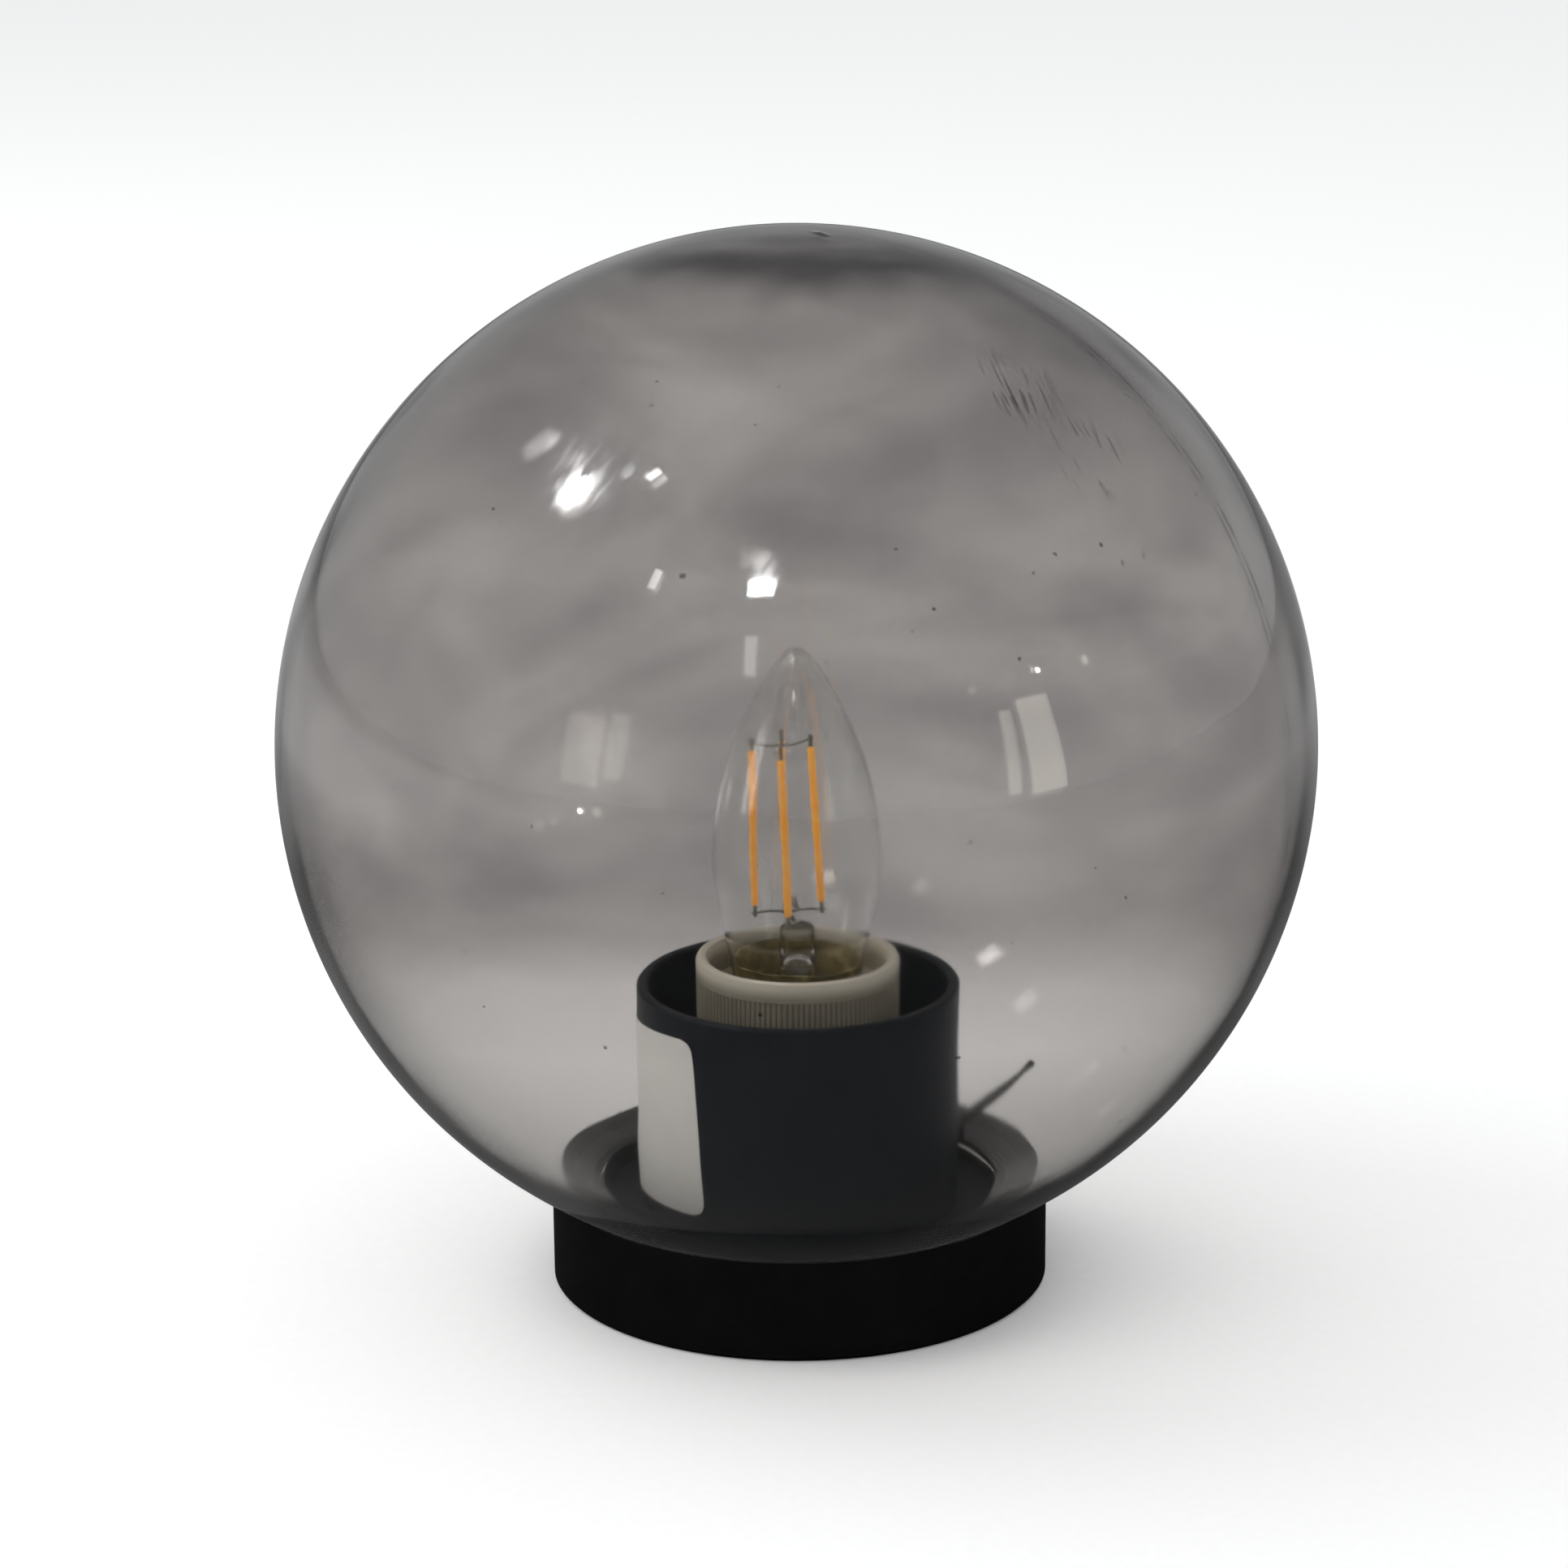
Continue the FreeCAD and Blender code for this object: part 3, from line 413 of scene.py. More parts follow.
def turned_piece(name, profile, columns=128, wave=None, wrap_rows=False):
    return grid_piece(name, turned_points(profile, columns, wave), wrap_rows=wrap_rows)


def line(start, end, steps):
    """Evenly spaced points from start up to, but without, end."""
    share = np.linspace(0, 1, steps, endpoint=False)[:, None]
    return np.array(start) * (1 - share) + np.array(end) * share


def arc(centre, radius, start, end, steps):
    """Points on a circle in the profile's plane, from one angle in degrees up to another."""
    angle = np.radians(np.linspace(start, end, steps, endpoint=False))
    return centre + radius * np.stack([np.cos(angle), np.sin(angle)], axis=1)


# %% Tubes along a path
def tube_points(path, radius, sides=16):
    """A ring of points square to the path at each of its points.

    The frame is carried without twist: each ring's sideways direction is the last one with its
    part along the new tangent taken out. The first and last rings shrink to a point, as end caps.
    """
    path = np.asarray(path, float)
    radius = np.broadcast_to(np.asarray(radius, float), (len(path),)).copy()
    tangent = unit(np.gradient(path, axis=0))
    side = np.cross(tangent[0], (0.3, 0.9, 0.2))
    carried = []
    for t in tangent:
        side = unit(side - t * side.dot(t))
        carried.append(side)
    side = np.array(carried)
    other = np.cross(tangent, side)
    path, side, other = (np.vstack([rows[:1], rows, rows[-1:]]) for rows in (path, side, other))
    radius = np.concatenate([[0], radius, [0]])
    angle = full_circle(sides)[None, :, None]
    ring = side[:, None] * np.cos(angle) + other[:, None] * np.sin(angle)
    return path[:, None] + ring * radius[:, None, None]


def smooth_path(points, steps=12):
    """A Catmull-Rom curve through the points: each span blends four neighbours by cubic weights."""
    points = np.asarray(points, float)
    padded = np.vstack([2 * points[0] - points[1], points, 2 * points[-1] - points[-2]])
    share = np.linspace(0, 1, steps, endpoint=False)[:, None]
    spans = []
    for before, start, end, after in zip(padded[:-3], padded[1:-2], padded[2:-1], padded[3:]):
        spans.append(0.5 * (2 * start + (end - before) * share
                            + (2 * before - 5 * start + 4 * end - after) * share ** 2
                            + (3 * start - before - 3 * end + after) * share ** 3))
    return np.vstack(spans + [points[-1:]])


# %% Joining, dressing and placing pieces
def joined_piece(name, parts):
    """One object of several finished meshes, each left as its own closed shell."""
    edit = bmesh.new()
    for part in parts:
        edit.from_mesh(part.data)
        bpy.data.objects.remove(part)
    mesh = bpy.data.meshes.new(name)
    edit.to_mesh(mesh)
    edit.free()
    return new_piece(name, shade(mesh))


def stands_for(piece, node, material):
    """The piece takes over a node: it gets the finish and the node's body, and the node is hidden.
    """
    piece.data.materials.clear()
    piece.data.materials.append(material)
    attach(piece, body_of[node])
    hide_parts(node)
    return piece


def points_of(node):
    """The points of a node's mesh, as rows of x, y, z."""
    mesh = frame["nodes"][node].data
    places = np.empty(len(mesh.vertices) * 3)
    mesh.vertices.foreach_get("co", places)
    return places.reshape(-1, 3)


def dressed(node, name, material, rounding=0.0):
    """A copy of a node's mesh: loose triangles merged, and sharp edges rounded a little."""
    source = frame["nodes"][node].data
    faces = np.empty(len(source.loops), int)
    source.loops.foreach_get("vertex_index", faces)
    mesh = bpy.data.meshes.new(name)
    mesh.from_pydata(points_of(node), [], faces.reshape(-1, 3))
    shade(flattened(merged(mesh, 0.001 * MM)))
    piece = new_piece(name, mesh)
    if rounding:
        bevel = piece.modifiers.new("rounded_edges", "BEVEL")
        bevel.width = rounding
        bevel.segments = 2
        bevel.limit_method = "ANGLE"
        bevel.angle_limit = SHARP_ANGLE
        bevel.harden_normals = True
        bevel.use_clamp_overlap = True
    print("dressed", node, len(mesh.polygons), "faces")
    return stands_for(piece, node, material)


# %% Measures of the solids
def loose_boxes(node):
    """Lowest and highest corner of each separate solid in a node, by walks over its merged mesh."""
    edit = bmesh.new()
    edit.from_mesh(frame["nodes"][node].data)
    bmesh.ops.remove_doubles(edit, verts=edit.verts, dist=0.001 * MM)
    waiting = set(edit.verts)
    boxes = []
    while waiting:
        reached = [waiting.pop()]
        found = list(reached)
        while reached:
            vertex = reached.pop()
            near = {edge.other_vert(vertex) for edge in vertex.link_edges} & waiting
            waiting -= near
            reached += near
            found += near
        places = np.array([v.co for v in found])
        boxes.append((places.min(axis=0), places.max(axis=0)))
    edit.free()
    return sorted(boxes, key=lambda box: tuple(box[0].round(5)))


def ring_radius(node, low, high):
    """Largest distance from the Z axis of a node's points between two heights."""
    x, y, z = points_of(node).T
    return float(np.hypot(x, y)[(z >= low) & (z <= high)].max())


# %% [markdown]
# ## Shared effects
# Moulded plastic, porcelain and metal all have a fine unevenness, a little dust and a few marks.
# Painting them would need image files, so each effect is a small node group that works on the
# piece's own coordinates. A group is built once and gives out masks and normals, and every
# material sets its own scale and strength on the group's sockets.

# %% Empty groups
VECTOR = ("Vector", "Vector", (0, 0, 0))


def node_group(name, inputs, outputs):
    """An empty shader group. inputs: (socket, kind, start value). outputs: (socket, kind)."""
    group = bpy.data.node_groups.new(name, "ShaderNodeTree")
    for socket, kind, value in inputs:
        made = group.interface.new_socket(name=socket, in_out="INPUT",
                                          socket_type="NodeSocket" + kind)
        made.default_value = value
    for socket, kind in outputs:
        group.interface.new_socket(name=socket, in_out="OUTPUT", socket_type="NodeSocket" + kind)
    given = group.nodes.new("NodeGroupInput").outputs
    return group, given, given["Vector"], group.nodes.new("NodeGroupOutput").inputs


# %% Group: fine grain
def build_grain():
    """Two sizes of noise: fine for the tooled grain, broad for uneven flow."""
    group, given, place, out = node_group(
        "fine_grain", [VECTOR, ("Scale", "Float", 2000.0), ("Depth", "Float", 0.00002)],
        [("Mask", "Float"), ("Normal", "Vector")])
    fine = noise(group, place, given["Scale"], 4.0)
    broad = noise(group, place, times(group, given["Scale"], 0.06), 2.0)
    feed(group, out["Mask"], maths(group, "ADD", times(group, fine, 0.6), times(group, broad, 0.4)))
    feed(group, out["Normal"], bump(group, fine, 1.0, given["Depth"]))
    return group


# %% Group: dust that settles on what faces up
def build_dust():
    """Noise specks and a soft film, kept where the surface's normal points up."""
    group, given, place, out = node_group(
        "settled_dust", [VECTOR, ("Amount", "Float", 0.3)], [("Mask", "Float")])
    facing_up = ramp(group, split(group, new_node(group, "NewGeometry")["Normal"])["Z"], 0.1, 0.9)
    film = ramp(group, noise(group, place, 60.0, 4.0), 0.35, 0.75)
    specks = ramp(group, noise(group, place, 1500.0, 2.0), 0.66, 0.72)
    both = maths(group, "MAXIMUM", times(group, film, 0.6), specks)
    feed(group, out["Mask"], times(group, both, facing_up, given["Amount"]))
    return group


# %% Group: fine scratches
def build_scratches():
    """Noise stretched along one way and cut to its thin ridges, then broken up by broad noise."""
    group, given, place, out = node_group(
        "fine_scratches", [VECTOR, ("Scale", "Float", 60.0)], [("Mask", "Float")])
    streak = noise(group, stretched(group, place, (1.0, 9.0, 9.0), (0.3, 0.5, 0.9)),
                   given["Scale"], 2.0)
    from_middle = maths(group, "ABSOLUTE", maths(group, "SUBTRACT", streak, 0.5))
    patch = ramp(group, noise(group, place, 25.0, 2.0), 0.52, 0.66)
    feed(group, out["Mask"], times(group, ramp(group, from_middle, 0.006, 0.0), patch))
    return group


GRAIN = build_grain()
DUST = build_dust()
SCRATCHES = build_scratches()
print("groups:", [group.name for group in bpy.data.node_groups])


# %% Material helpers
def new_material(name):
    """A material with a Principled shader, its tree, and the piece's Object coordinates."""
    material = bpy.data.materials.new(name)
    material.use_nodes = True
    tree = material.node_tree
    return material, tree, new_node(tree, "TexCoord")["Object"]


def use_group(tree, group, **values):
    """Places a group in a tree, feeds its inputs, and returns its outputs."""
    node = tree.nodes.new("ShaderNodeGroup")
    node.node_tree = group
    for socket, value in values.items():
        feed(tree, node.inputs[socket], value)
    return node.outputs


def set_shader(tree, **values):
    """Feeds the Principled shader's inputs. What is the same all over stays a plain value."""
    for name, value in values.items():
        feed(tree, tree.nodes["Principled BSDF"].inputs[name.replace("_", " ")], value)


DUST_COLOUR = (0.45, 0.43, 0.40)


def plain_finish(name, colour, other_colour, roughness, grain_scale=2000.0, grain_depth=0.01 * MM,
                 metallic=0.0, specular=0.5, dust=0.0, scratches=0.0):
    """Plastic, metal or rubber: two near colours by grain, dust on top, and marks in the gloss."""
    material, tree, place = new_material(name)
    grain = use_group(tree, GRAIN, Vector=place, Scale=grain_scale, Depth=grain_depth)
    colour_now = colour_mix(tree, ramp(tree, grain["Mask"], 0.38, 0.62), colour, other_colour)
    rough_now = scaled(tree, grain["Mask"], 0.25 * roughness, 0.88 * roughness)
    if scratches:
        marks = use_group(tree, SCRATCHES, Vector=place, Scale=80.0)["Mask"]
        rough_now = scaled(tree, marks, scratches, rough_now)
    if dust:
        film = use_group(tree, DUST, Vector=place, Amount=dust)["Mask"]
        colour_now = colour_mix(tree, film, colour_now, DUST_COLOUR)
        rough_now = scaled(tree, film, 0.4, rough_now)
    set_shader(tree, Base_Color=colour_now, Roughness=rough_now, Normal=grain["Normal"],
               Metallic=metallic, Specular_IOR_Level=specular)
    return material


# %% Plastics, rubber and other dull finishes
black_plastic = plain_finish(
    "black_moulded_plastic", (0.0022, 0.0022, 0.0024), (0.0034, 0.0034, 0.0036), 0.5,
    grain_depth=0.02 * MM, specular=0.1, dust=0.02)
charcoal_plastic = plain_finish(
    "charcoal_moulded_plastic", (0.008, 0.0105, 0.0135), (0.012, 0.0145, 0.0175), 0.42,
    specular=0.06, dust=0.03, scratches=0.15)
brown_sleeve = plain_finish("brown_lead_sleeve", (0.16, 0.06, 0.025), (0.20, 0.08, 0.035), 0.5)
blue_sleeve = plain_finish("blue_lead_sleeve", (0.03, 0.11, 0.36), (0.04, 0.14, 0.42), 0.5)
black_nylon = plain_finish("black_nylon", (0.012, 0.012, 0.014), (0.02, 0.02, 0.022), 0.45,
                           specular=0.4)
milky_nylon = plain_finish("natural_nylon", (0.74, 0.72, 0.66), (0.66, 0.64, 0.57), 0.45)
seal_rubber = plain_finish("black_seal_rubber", (0.012, 0.012, 0.012), (0.02, 0.02, 0.02), 0.75,
                           specular=0.3)
cap_insulation = plain_finish("black_cap_glass", (0.01, 0.01, 0.012), (0.016, 0.016, 0.02), 0.12)
green_board = plain_finish("green_board", (0.03, 0.16, 0.07), (0.04, 0.20, 0.09), 0.35)
part_cases = plain_finish("black_part_cases", (0.02, 0.02, 0.022), (0.035, 0.035, 0.04), 0.4)


# %% Metals
def metal_finish(name, colour, other_colour, roughness, grain_scale, grain_depth, metallic=1.0):
    return plain_finish(name, colour, other_colour, roughness, grain_scale, grain_depth, metallic)


zinc = metal_finish("zinc_plated_steel", (0.60, 0.61, 0.60), (0.50, 0.51, 0.50), 0.32,
                    5000.0, 0.004 * MM)
brass = metal_finish("machined_brass", (0.72, 0.56, 0.28), (0.62, 0.46, 0.20), 0.3,
                     4000.0, 0.004 * MM)
bronze = metal_finish("spring_bronze", (0.66, 0.43, 0.24), (0.56, 0.35, 0.18), 0.28,
                      4000.0, 0.003 * MM)
nickel = metal_finish("nickel_plated_brass", (0.66, 0.62, 0.50), (0.54, 0.49, 0.36), 0.3,
                      3000.0, 0.004 * MM)
tin = metal_finish("tinned_contact", (0.66, 0.66, 0.64), (0.5, 0.5, 0.48), 0.4,
                   3000.0, 0.01 * MM)
wire_metal = metal_finish("dull_nickel_wire", (0.09, 0.085, 0.06), (0.16, 0.15, 0.11), 0.4,
                          6000.0, 0.003 * MM, 0.8)
print("finishes:", len(bpy.data.materials))

# %% [markdown]
# ## The black base
# The base is one black moulding: a short skirt, a dished seat for the globe, a well for the
# globe's screw neck, and a hub that carries the tube. The solid already has its form, so its
# own mesh is merged and its sharp edges get the small round that every moulding has. A round
# that catches the light is what tells the eye that an edge is real.

# %% Base and gasket
dressed("base_housing", "black_base", black_plastic, 0.35 * MM)
dressed("globe_gasket", "seal_ring", seal_rubber, 0.15 * MM)

# %% [markdown]
# ## The charcoal tube
# The tube is a plain satin cylinder with a thin rim, so it is dressed in the same way.

# %% Tube
dressed("lamp_tube", "charcoal_tube", charcoal_plastic, 0.25 * MM)

# %% [markdown]
# ## The ribbed porcelain lampholder
# Its rim is thick and rounded with a thin glaze, and the sides are bare porcelain with fine
# upright ribs for grip. The ribs are in the solid. The finish adds the grainy bisque, the
# yellowed shade of old porcelain, and dark grooves between ribs, painted shade with some grime:
# the darkening is a wave on the angle round the axis, so it stays in every groove.

# %% Porcelain finish
HOLDER_RIBS = 118
HOLDER_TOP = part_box("lampholder_body")[1].z
GLAZE_EDGE = HOLDER_TOP - 3.2 * MM
GLAZE_FULL = HOLDER_TOP - 1.2 * MM
RIBS_TOP = HOLDER_TOP - 3.6 * MM
RIBS_FULL = HOLDER_TOP - 4.4 * MM


def porcelain_finish():
    """Blotched bisque, rim glaze, specks, and painted shade with grime by the ribs' cosine."""
    material, tree, place = new_material("bisque_porcelain")
    x, y, z = split(tree, place)
    grain = use_group(tree, GRAIN, Vector=place, Scale=2500.0, Depth=0.03 * MM)
    blotch = ramp(tree, noise(tree, place, 140.0, 4.0), 0.35, 0.7)
    colour = colour_mix(tree, blotch, (0.36, 0.335, 0.26), (0.29, 0.265, 0.20))
    glaze = ramp(tree, z, GLAZE_EDGE, GLAZE_FULL)
    colour = colour_mix(tree, glaze, colour, (0.63, 0.595, 0.49))
    rib_angle = scaled(tree, maths(tree, "ARCTAN2", y, x), HOLDER_RIBS, math.pi)
    groove = ramp(tree, maths(tree, "COSINE", rib_angle), 0.1, 0.9)
    # Painted shade in the grooves between the ribs, with some grime: darker where the cosine of the
    # rib angle is high.
    groove_shade_and_grime = times(tree, groove, ramp(tree, z, RIBS_TOP, RIBS_FULL), 0.7)
    colour = colour_mix(tree, groove_shade_and_grime, colour, (0.12, 0.105, 0.075))
    specks = times(tree, ramp(tree, noise(tree, place, 900.0, 1.0), 0.70, 0.76), 0.25)
    colour = colour_mix(tree, specks, colour, (0.30, 0.25, 0.17))
    set_shader(tree, Base_Color=colour, Roughness=scaled(tree, glaze, -0.45, 0.78),
               Normal=grain["Normal"])
    return material


dressed("lampholder_body", "ribbed_porcelain_holder", porcelain_finish(), 0.12 * MM)

# %% [markdown]
# ## Rolled threads of cap and shell
# The bulb's cap and the holder's shell are thin sheet rolled into the same thread: a smooth wave,
# not a cut V. Its height climbs one pitch in a turn, so the radius at angle a and height z is a
# wave of z less pitch times a over a turn. Both pieces use the one phase, which is why they mesh.

# %% Thread wave
CAP_PITCH = 25.4 * MM / 7
CAP_THREAD_DEPTH = 0.9 * MM
CAP_R = 13.1 * MM
CAP_SHEET = 0.3 * MM
CAP_FLARE = 0.2 * MM
cap_low, cap_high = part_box("bulb_cap")


def rolled_thread(start, end, fade):
    """Minus the depth times a round wave of the screw phase, faded out near its two ends."""
    def wave(a, z):
        phase = z / CAP_PITCH - a / TURN
        ends = smooth_step(np.minimum(z - start, end - z) / fade)
        return -CAP_THREAD_DEPTH * (0.5 - 0.5 * np.cos(TURN * phase)) * ends
    return wave


# %% Bulb cap
def build_bulb_cap():
    """Outer and inner walls of the cap: the same thread wave, a sheet's thickness apart."""
    low, high = cap_low.z, cap_high.z
    bend = high - CAP_SHEET
    inner_r = CAP_R - CAP_SHEET
    profile = np.vstack([line((CAP_R, low), (CAP_R, bend), 110),
                         line((CAP_R, bend), (CAP_R + CAP_FLARE, high), 4),
                         line((inner_r + CAP_FLARE, high), (inner_r, bend), 4),
                         line((inner_r, bend), (inner_r, low), 110)])
    wave = rolled_thread(low + 0.8 * MM, high - 4.5 * MM, 1.5 * MM)
    return turned_piece("rolled_bulb_cap", profile, 96, wave, wrap_rows=True)


def cap_finish():
    """Nickel outside and olive cement inside, told apart by the radial part of the normal."""
    material, tree, place = new_material("nickel_cap_with_cement")
    sideways = vector_maths(tree, "MULTIPLY", place, (1, 1, 0), "Vector")
    normal = new_node(tree, "NewGeometry")["Normal"]
    inside = ramp(tree, vector_maths(tree, "DOT_PRODUCT", sideways, normal), 0.0, -0.002)
    grain = use_group(tree, GRAIN, Vector=place, Scale=1800.0, Depth=0.01 * MM)
    metal = colour_mix(tree, ramp(tree, grain["Mask"], 0.35, 0.65),
                       (0.66, 0.62, 0.50), (0.50, 0.45, 0.32))
    cement = colour_mix(tree, ramp(tree, noise(tree, place, 250.0, 3.0), 0.35, 0.65),
                        (0.13, 0.10, 0.025), (0.24, 0.19, 0.06))
    set_shader(tree, Base_Color=colour_mix(tree, inside, metal, cement),
               Metallic=scaled(tree, inside, -0.6, 1.0),
               Roughness=scaled(tree, grain["Mask"], 0.2, 0.2), Normal=grain["Normal"])
    return material


stands_for(build_bulb_cap(), "bulb_cap", cap_finish())


# %% Lampholder shell
SHELL_WALL = 0.4 * MM
SHELL_FOOT = 3.0 * MM
shell_low, shell_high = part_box("lampholder_shell")


def build_shell():
    """A wall with the cap's thread at its own radius, and a flat foot ring turned in below it."""
    low, high = shell_low.z, shell_high.z
    shell_r = (shell_high.x - shell_low.x) / 2
    inner_r = shell_r - SHELL_WALL
    foot_r = shell_r - SHELL_FOOT
    foot_top = low + SHELL_WALL
    profile = np.vstack([line((shell_r, low), (shell_r, high), 110),
                         line((shell_r, high), (inner_r, high), 3),
                         line((inner_r, high), (inner_r, foot_top), 110),
                         line((inner_r, foot_top), (foot_r, foot_top), 4),
                         line((foot_r, foot_top), (foot_r, low), 2),
                         line((foot_r, low), (shell_r, low), 4)])
    wave = rolled_thread(low + 0.8 * MM, high - 0.6 * MM, 1.0 * MM)
    return turned_piece("rolled_holder_shell", profile, 96, wave, wrap_rows=True)


stands_for(build_shell(), "lampholder_shell", nickel)

# %% [markdown]
# ## Glass that lets the lamps in
# A renderer that follows light backwards can't aim a shadow ray through a glass shell, so all
# that lies inside would stay dark and grainy. The glass stays real for the eye, with its own
# gloss and bending of light, but shadow rays and rays that left a dull surface pass it straight
# with a tint. The Light Path node tells the rays apart.

# %% Glass helper
def let_light_in(tree, tint):
    """Shadow rays and rays from dull surfaces see a plain tinted sheet in place of the glass."""
    path = new_node(tree, "LightPath")
    passing = maths(tree, "MAXIMUM", path["Is Shadow Ray"], path["Is Diffuse Ray"])
    sheet = new_node(tree, "BsdfTransparent", {"Color": tint})
    mix = new_node(tree, "MixShader", {0: passing, 1: tree.nodes["Principled BSDF"].outputs[0],
                                       2: sheet[0]})
    feed(tree, tree.nodes["Material Output"].inputs["Surface"], mix[0])


def bulb_glass_finish():
    """Clear soft glass with a faint film of dust and a hardly uneven surface.

    A perfectly sharp mirror can't show a lamp that lights only the bulb. The thin coat is a
    little rough, and it carries those highlights.
    """
    material, tree, place = new_material("clear_bulb_glass")
    film = ramp(tree, noise(tree, place, 90.0, 4.0), 0.3, 0.8)
    set_shader(tree, Base_Color=colour_mix(tree, film, (0.99, 0.995, 0.985), (0.95, 0.96, 0.95)),
               Roughness=scaled(tree, film, 0.03, 0.035), Specular_IOR_Level=0.35,
               Coat_Weight=0.35, Coat_Roughness=0.07, Transmission_Weight=1.0, IOR=1.5,
               Normal=bump(tree, noise(tree, place, 60.0, 1.0), 0.3, 0.1 * MM))
    let_light_in(tree, (0.97, 0.97, 0.96))
    return material


bulb_glass_clear = bulb_glass_finish()

# %% [markdown]
# ## The candle bulb's glass
# A bulb's glass is one thin blown wall. Its outline is a sine swell up to the widest place and a
# falling power curve above it, which a steeper one rounds off to a blunt tip. The inner wall is
# the same outline a wall's thickness in, so light bends at both. A single surface would act as a
# solid lens and show nothing inside.

# %% Candle glass
BULB_WALL = 0.7 * MM
BULB_NECK_R = 12.5 * MM
WIDEST_SHARE = 0.38
NECK_POWER = 1.7
SHOULDER_POWER = 2.1
TIP_CUT = 0.94
TIP_POWER = 60
OUTLINE_STEPS = 140
glass_low, glass_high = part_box("bulb_glass")
BULB_R = (glass_high.x - glass_low.x) / 2


def candle_outline(steps=OUTLINE_STEPS):
    """Points (r, z) from the cap's rim up to the tip, closer together towards the tip.

    Below the widest place the radius swells by a sine to a power. Above it the radius is 1 less a
    power of the height's share, times the root of 1 less a very high power, which closes the tip.
    """
    share = np.sin(np.pi / 2 * np.linspace(0, 1, steps))
    swell = np.sin(np.pi / 2 * np.clip(share / WIDEST_SHARE, 0, 1)) ** NECK_POWER
    fall = np.clip((share - WIDEST_SHARE) / (1 - WIDEST_SHARE), 0, 1)
    tip = np.sqrt(1 - fall ** TIP_POWER)
    r = np.where(share < WIDEST_SHARE, BULB_NECK_R + (BULB_R - BULB_NECK_R) * swell,
                 BULB_R * (1 - (TIP_CUT * fall) ** SHOULDER_POWER) * tip)
    return np.stack([r, cap_high.z + (glass_high.z - cap_high.z) * share], axis=1)


def build_candle():
    """Outer wall up to the tip, inner wall back down, and the cut edge at the neck between them."""
    outline = candle_outline()
    outer = np.vstack([line((BULB_NECK_R, glass_low.z), tuple(outline[0]), 12), outline])
    tangent = unit(np.gradient(outer, axis=0))
    inner = outer - np.stack([tangent[:, 1], -tangent[:, 0]], axis=1) * BULB_WALL
    inner = inner[inner[:, 0] > 0.15 * MM]
    inner = np.vstack([inner, [0, inner[-1, 1] + 0.05 * MM]])
    return turned_piece("candle_glass", np.vstack([outer[::-1], inner]), 128)


candle = stands_for(build_candle(), "bulb_glass", bulb_glass_clear)

# %% [markdown]
# ## Lights for the bulb alone
# The bulb has bright streaks of its own, which the globe doesn't show. A lamp strong enough to
# make them would burn out the globe, so these five light the bulb's glass only: light linking
# gives a lamp a collection of the objects that it lights.

# %% Lamps linked to the glass
BULB_GLINTS = (("left_streak", (606, 850), 0.16, 0.8, 420),
               ("left_dash", (400, 880), 0.16, 0.3, 300),
               ("right_streak", (1560, 975), 0.20, 0.5, 300),
               ("tip_light", (880, 590), 0.25, 0.5, 500),
               ("tip_dot", (800, 500), 0.2, 0.2, 500))
for_bulb = bpy.data.collections.new("lit_by_bulb_lights")
for_bulb.objects.link(candle)
for glint in BULB_GLINTS:
    soft_lamp(*glint).light_linking.receiver_collection = for_bulb

# %% [markdown]
# ## Cement inside the neck
# Olive cement holds the glass in its cap, and some of it creeps up inside the neck. Colour on
# the glass itself would hide the stem, so it is a thin sleeve just inside the wall.

# %% Cement sleeve
CEMENT_TOP_Z = 66.0 * MM
CEMENT_WALL = 0.35 * MM
CEMENT_GAP = 0.1 * MM


def build_cement():
    """The outline's foot, moved in. Two sines of the angle stretch it, so the top edge waves."""
    outline = candle_outline()
    neck = outline[outline[:, 1] < CEMENT_TOP_Z] - [BULB_WALL + CEMENT_GAP, 0]
    points = turned_points(np.vstack([neck, (neck - [CEMENT_WALL, 0])[::-1]]), 96)
    angle = full_circle(96)
    creep = 0.25 * np.sin(3 * angle + 1) + 0.15 * np.sin(7 * angle)
    rise = points[..., 2] - cap_high.z
    points[..., 2] = cap_high.z + rise * (0.9 + 0.1 * creep)
    return grid_piece("neck_cement", points, wrap_rows=True)


def cement_finish():
    """Olive brown cement, glossy where it touches the glass and blotched with tarnish."""
    material, tree, place = new_material("olive_cement")
    blotch = noise(tree, place, 260.0, 3.0)
    colour = colour_mix(tree, ramp(tree, blotch, 0.35, 0.65),
                        (0.11, 0.09, 0.03), (0.27, 0.215, 0.075))
    set_shader(tree, Base_Color=colour, Roughness=scaled(tree, blotch, 0.3, 0.1), Metallic=0.3,
               Normal=bump(tree, blotch, 0.8, 0.6 * MM))
    return material


cement = build_cement()
cement.data.materials.append(cement_finish())
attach(cement, body_of["bulb_cap"])

# %% [markdown]
# ## Stem, filaments and wires
# Inside the glass a flared stem carries a pinched press, a thin rod and a bead at its top. Four
# yellow filaments stand round the rod between short spikes, and bent wires tie the spikes to the
# bead and to the press. In the photograph the whole cage leans to the left and no filament is
# quite straight, so each has its own two end points.

# %% Filament places
stem_low, stem_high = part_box("bulb_stem")
filament_low, filament_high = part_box("bulb_filaments")
CAGE_TOP = np.array([-2.9 * MM, 0, filament_high.z])
CAGE_FOOT = np.array([-1.7 * MM, 0, filament_low.z])
CAGE_TOP_R = 5.7 * MM
CAGE_FOOT_R = 6.5 * MM
FILAMENT_R = 0.74 * MM
FILAMENT_LIFTS = (0.7 * MM, 0.2 * MM, 0.0, -0.5 * MM)


def filament_ends(index):
    """Foot and top of one filament, a quarter turn apart, each lifted by its own small amount."""
    angle = TURN / 4 * index
    way = np.array([math.cos(angle), math.sin(angle), 0])
    lift = np.array([0, 0, FILAMENT_LIFTS[index]])
    return CAGE_FOOT + way * CAGE_FOOT_R + lift, CAGE_TOP + way * CAGE_TOP_R + lift


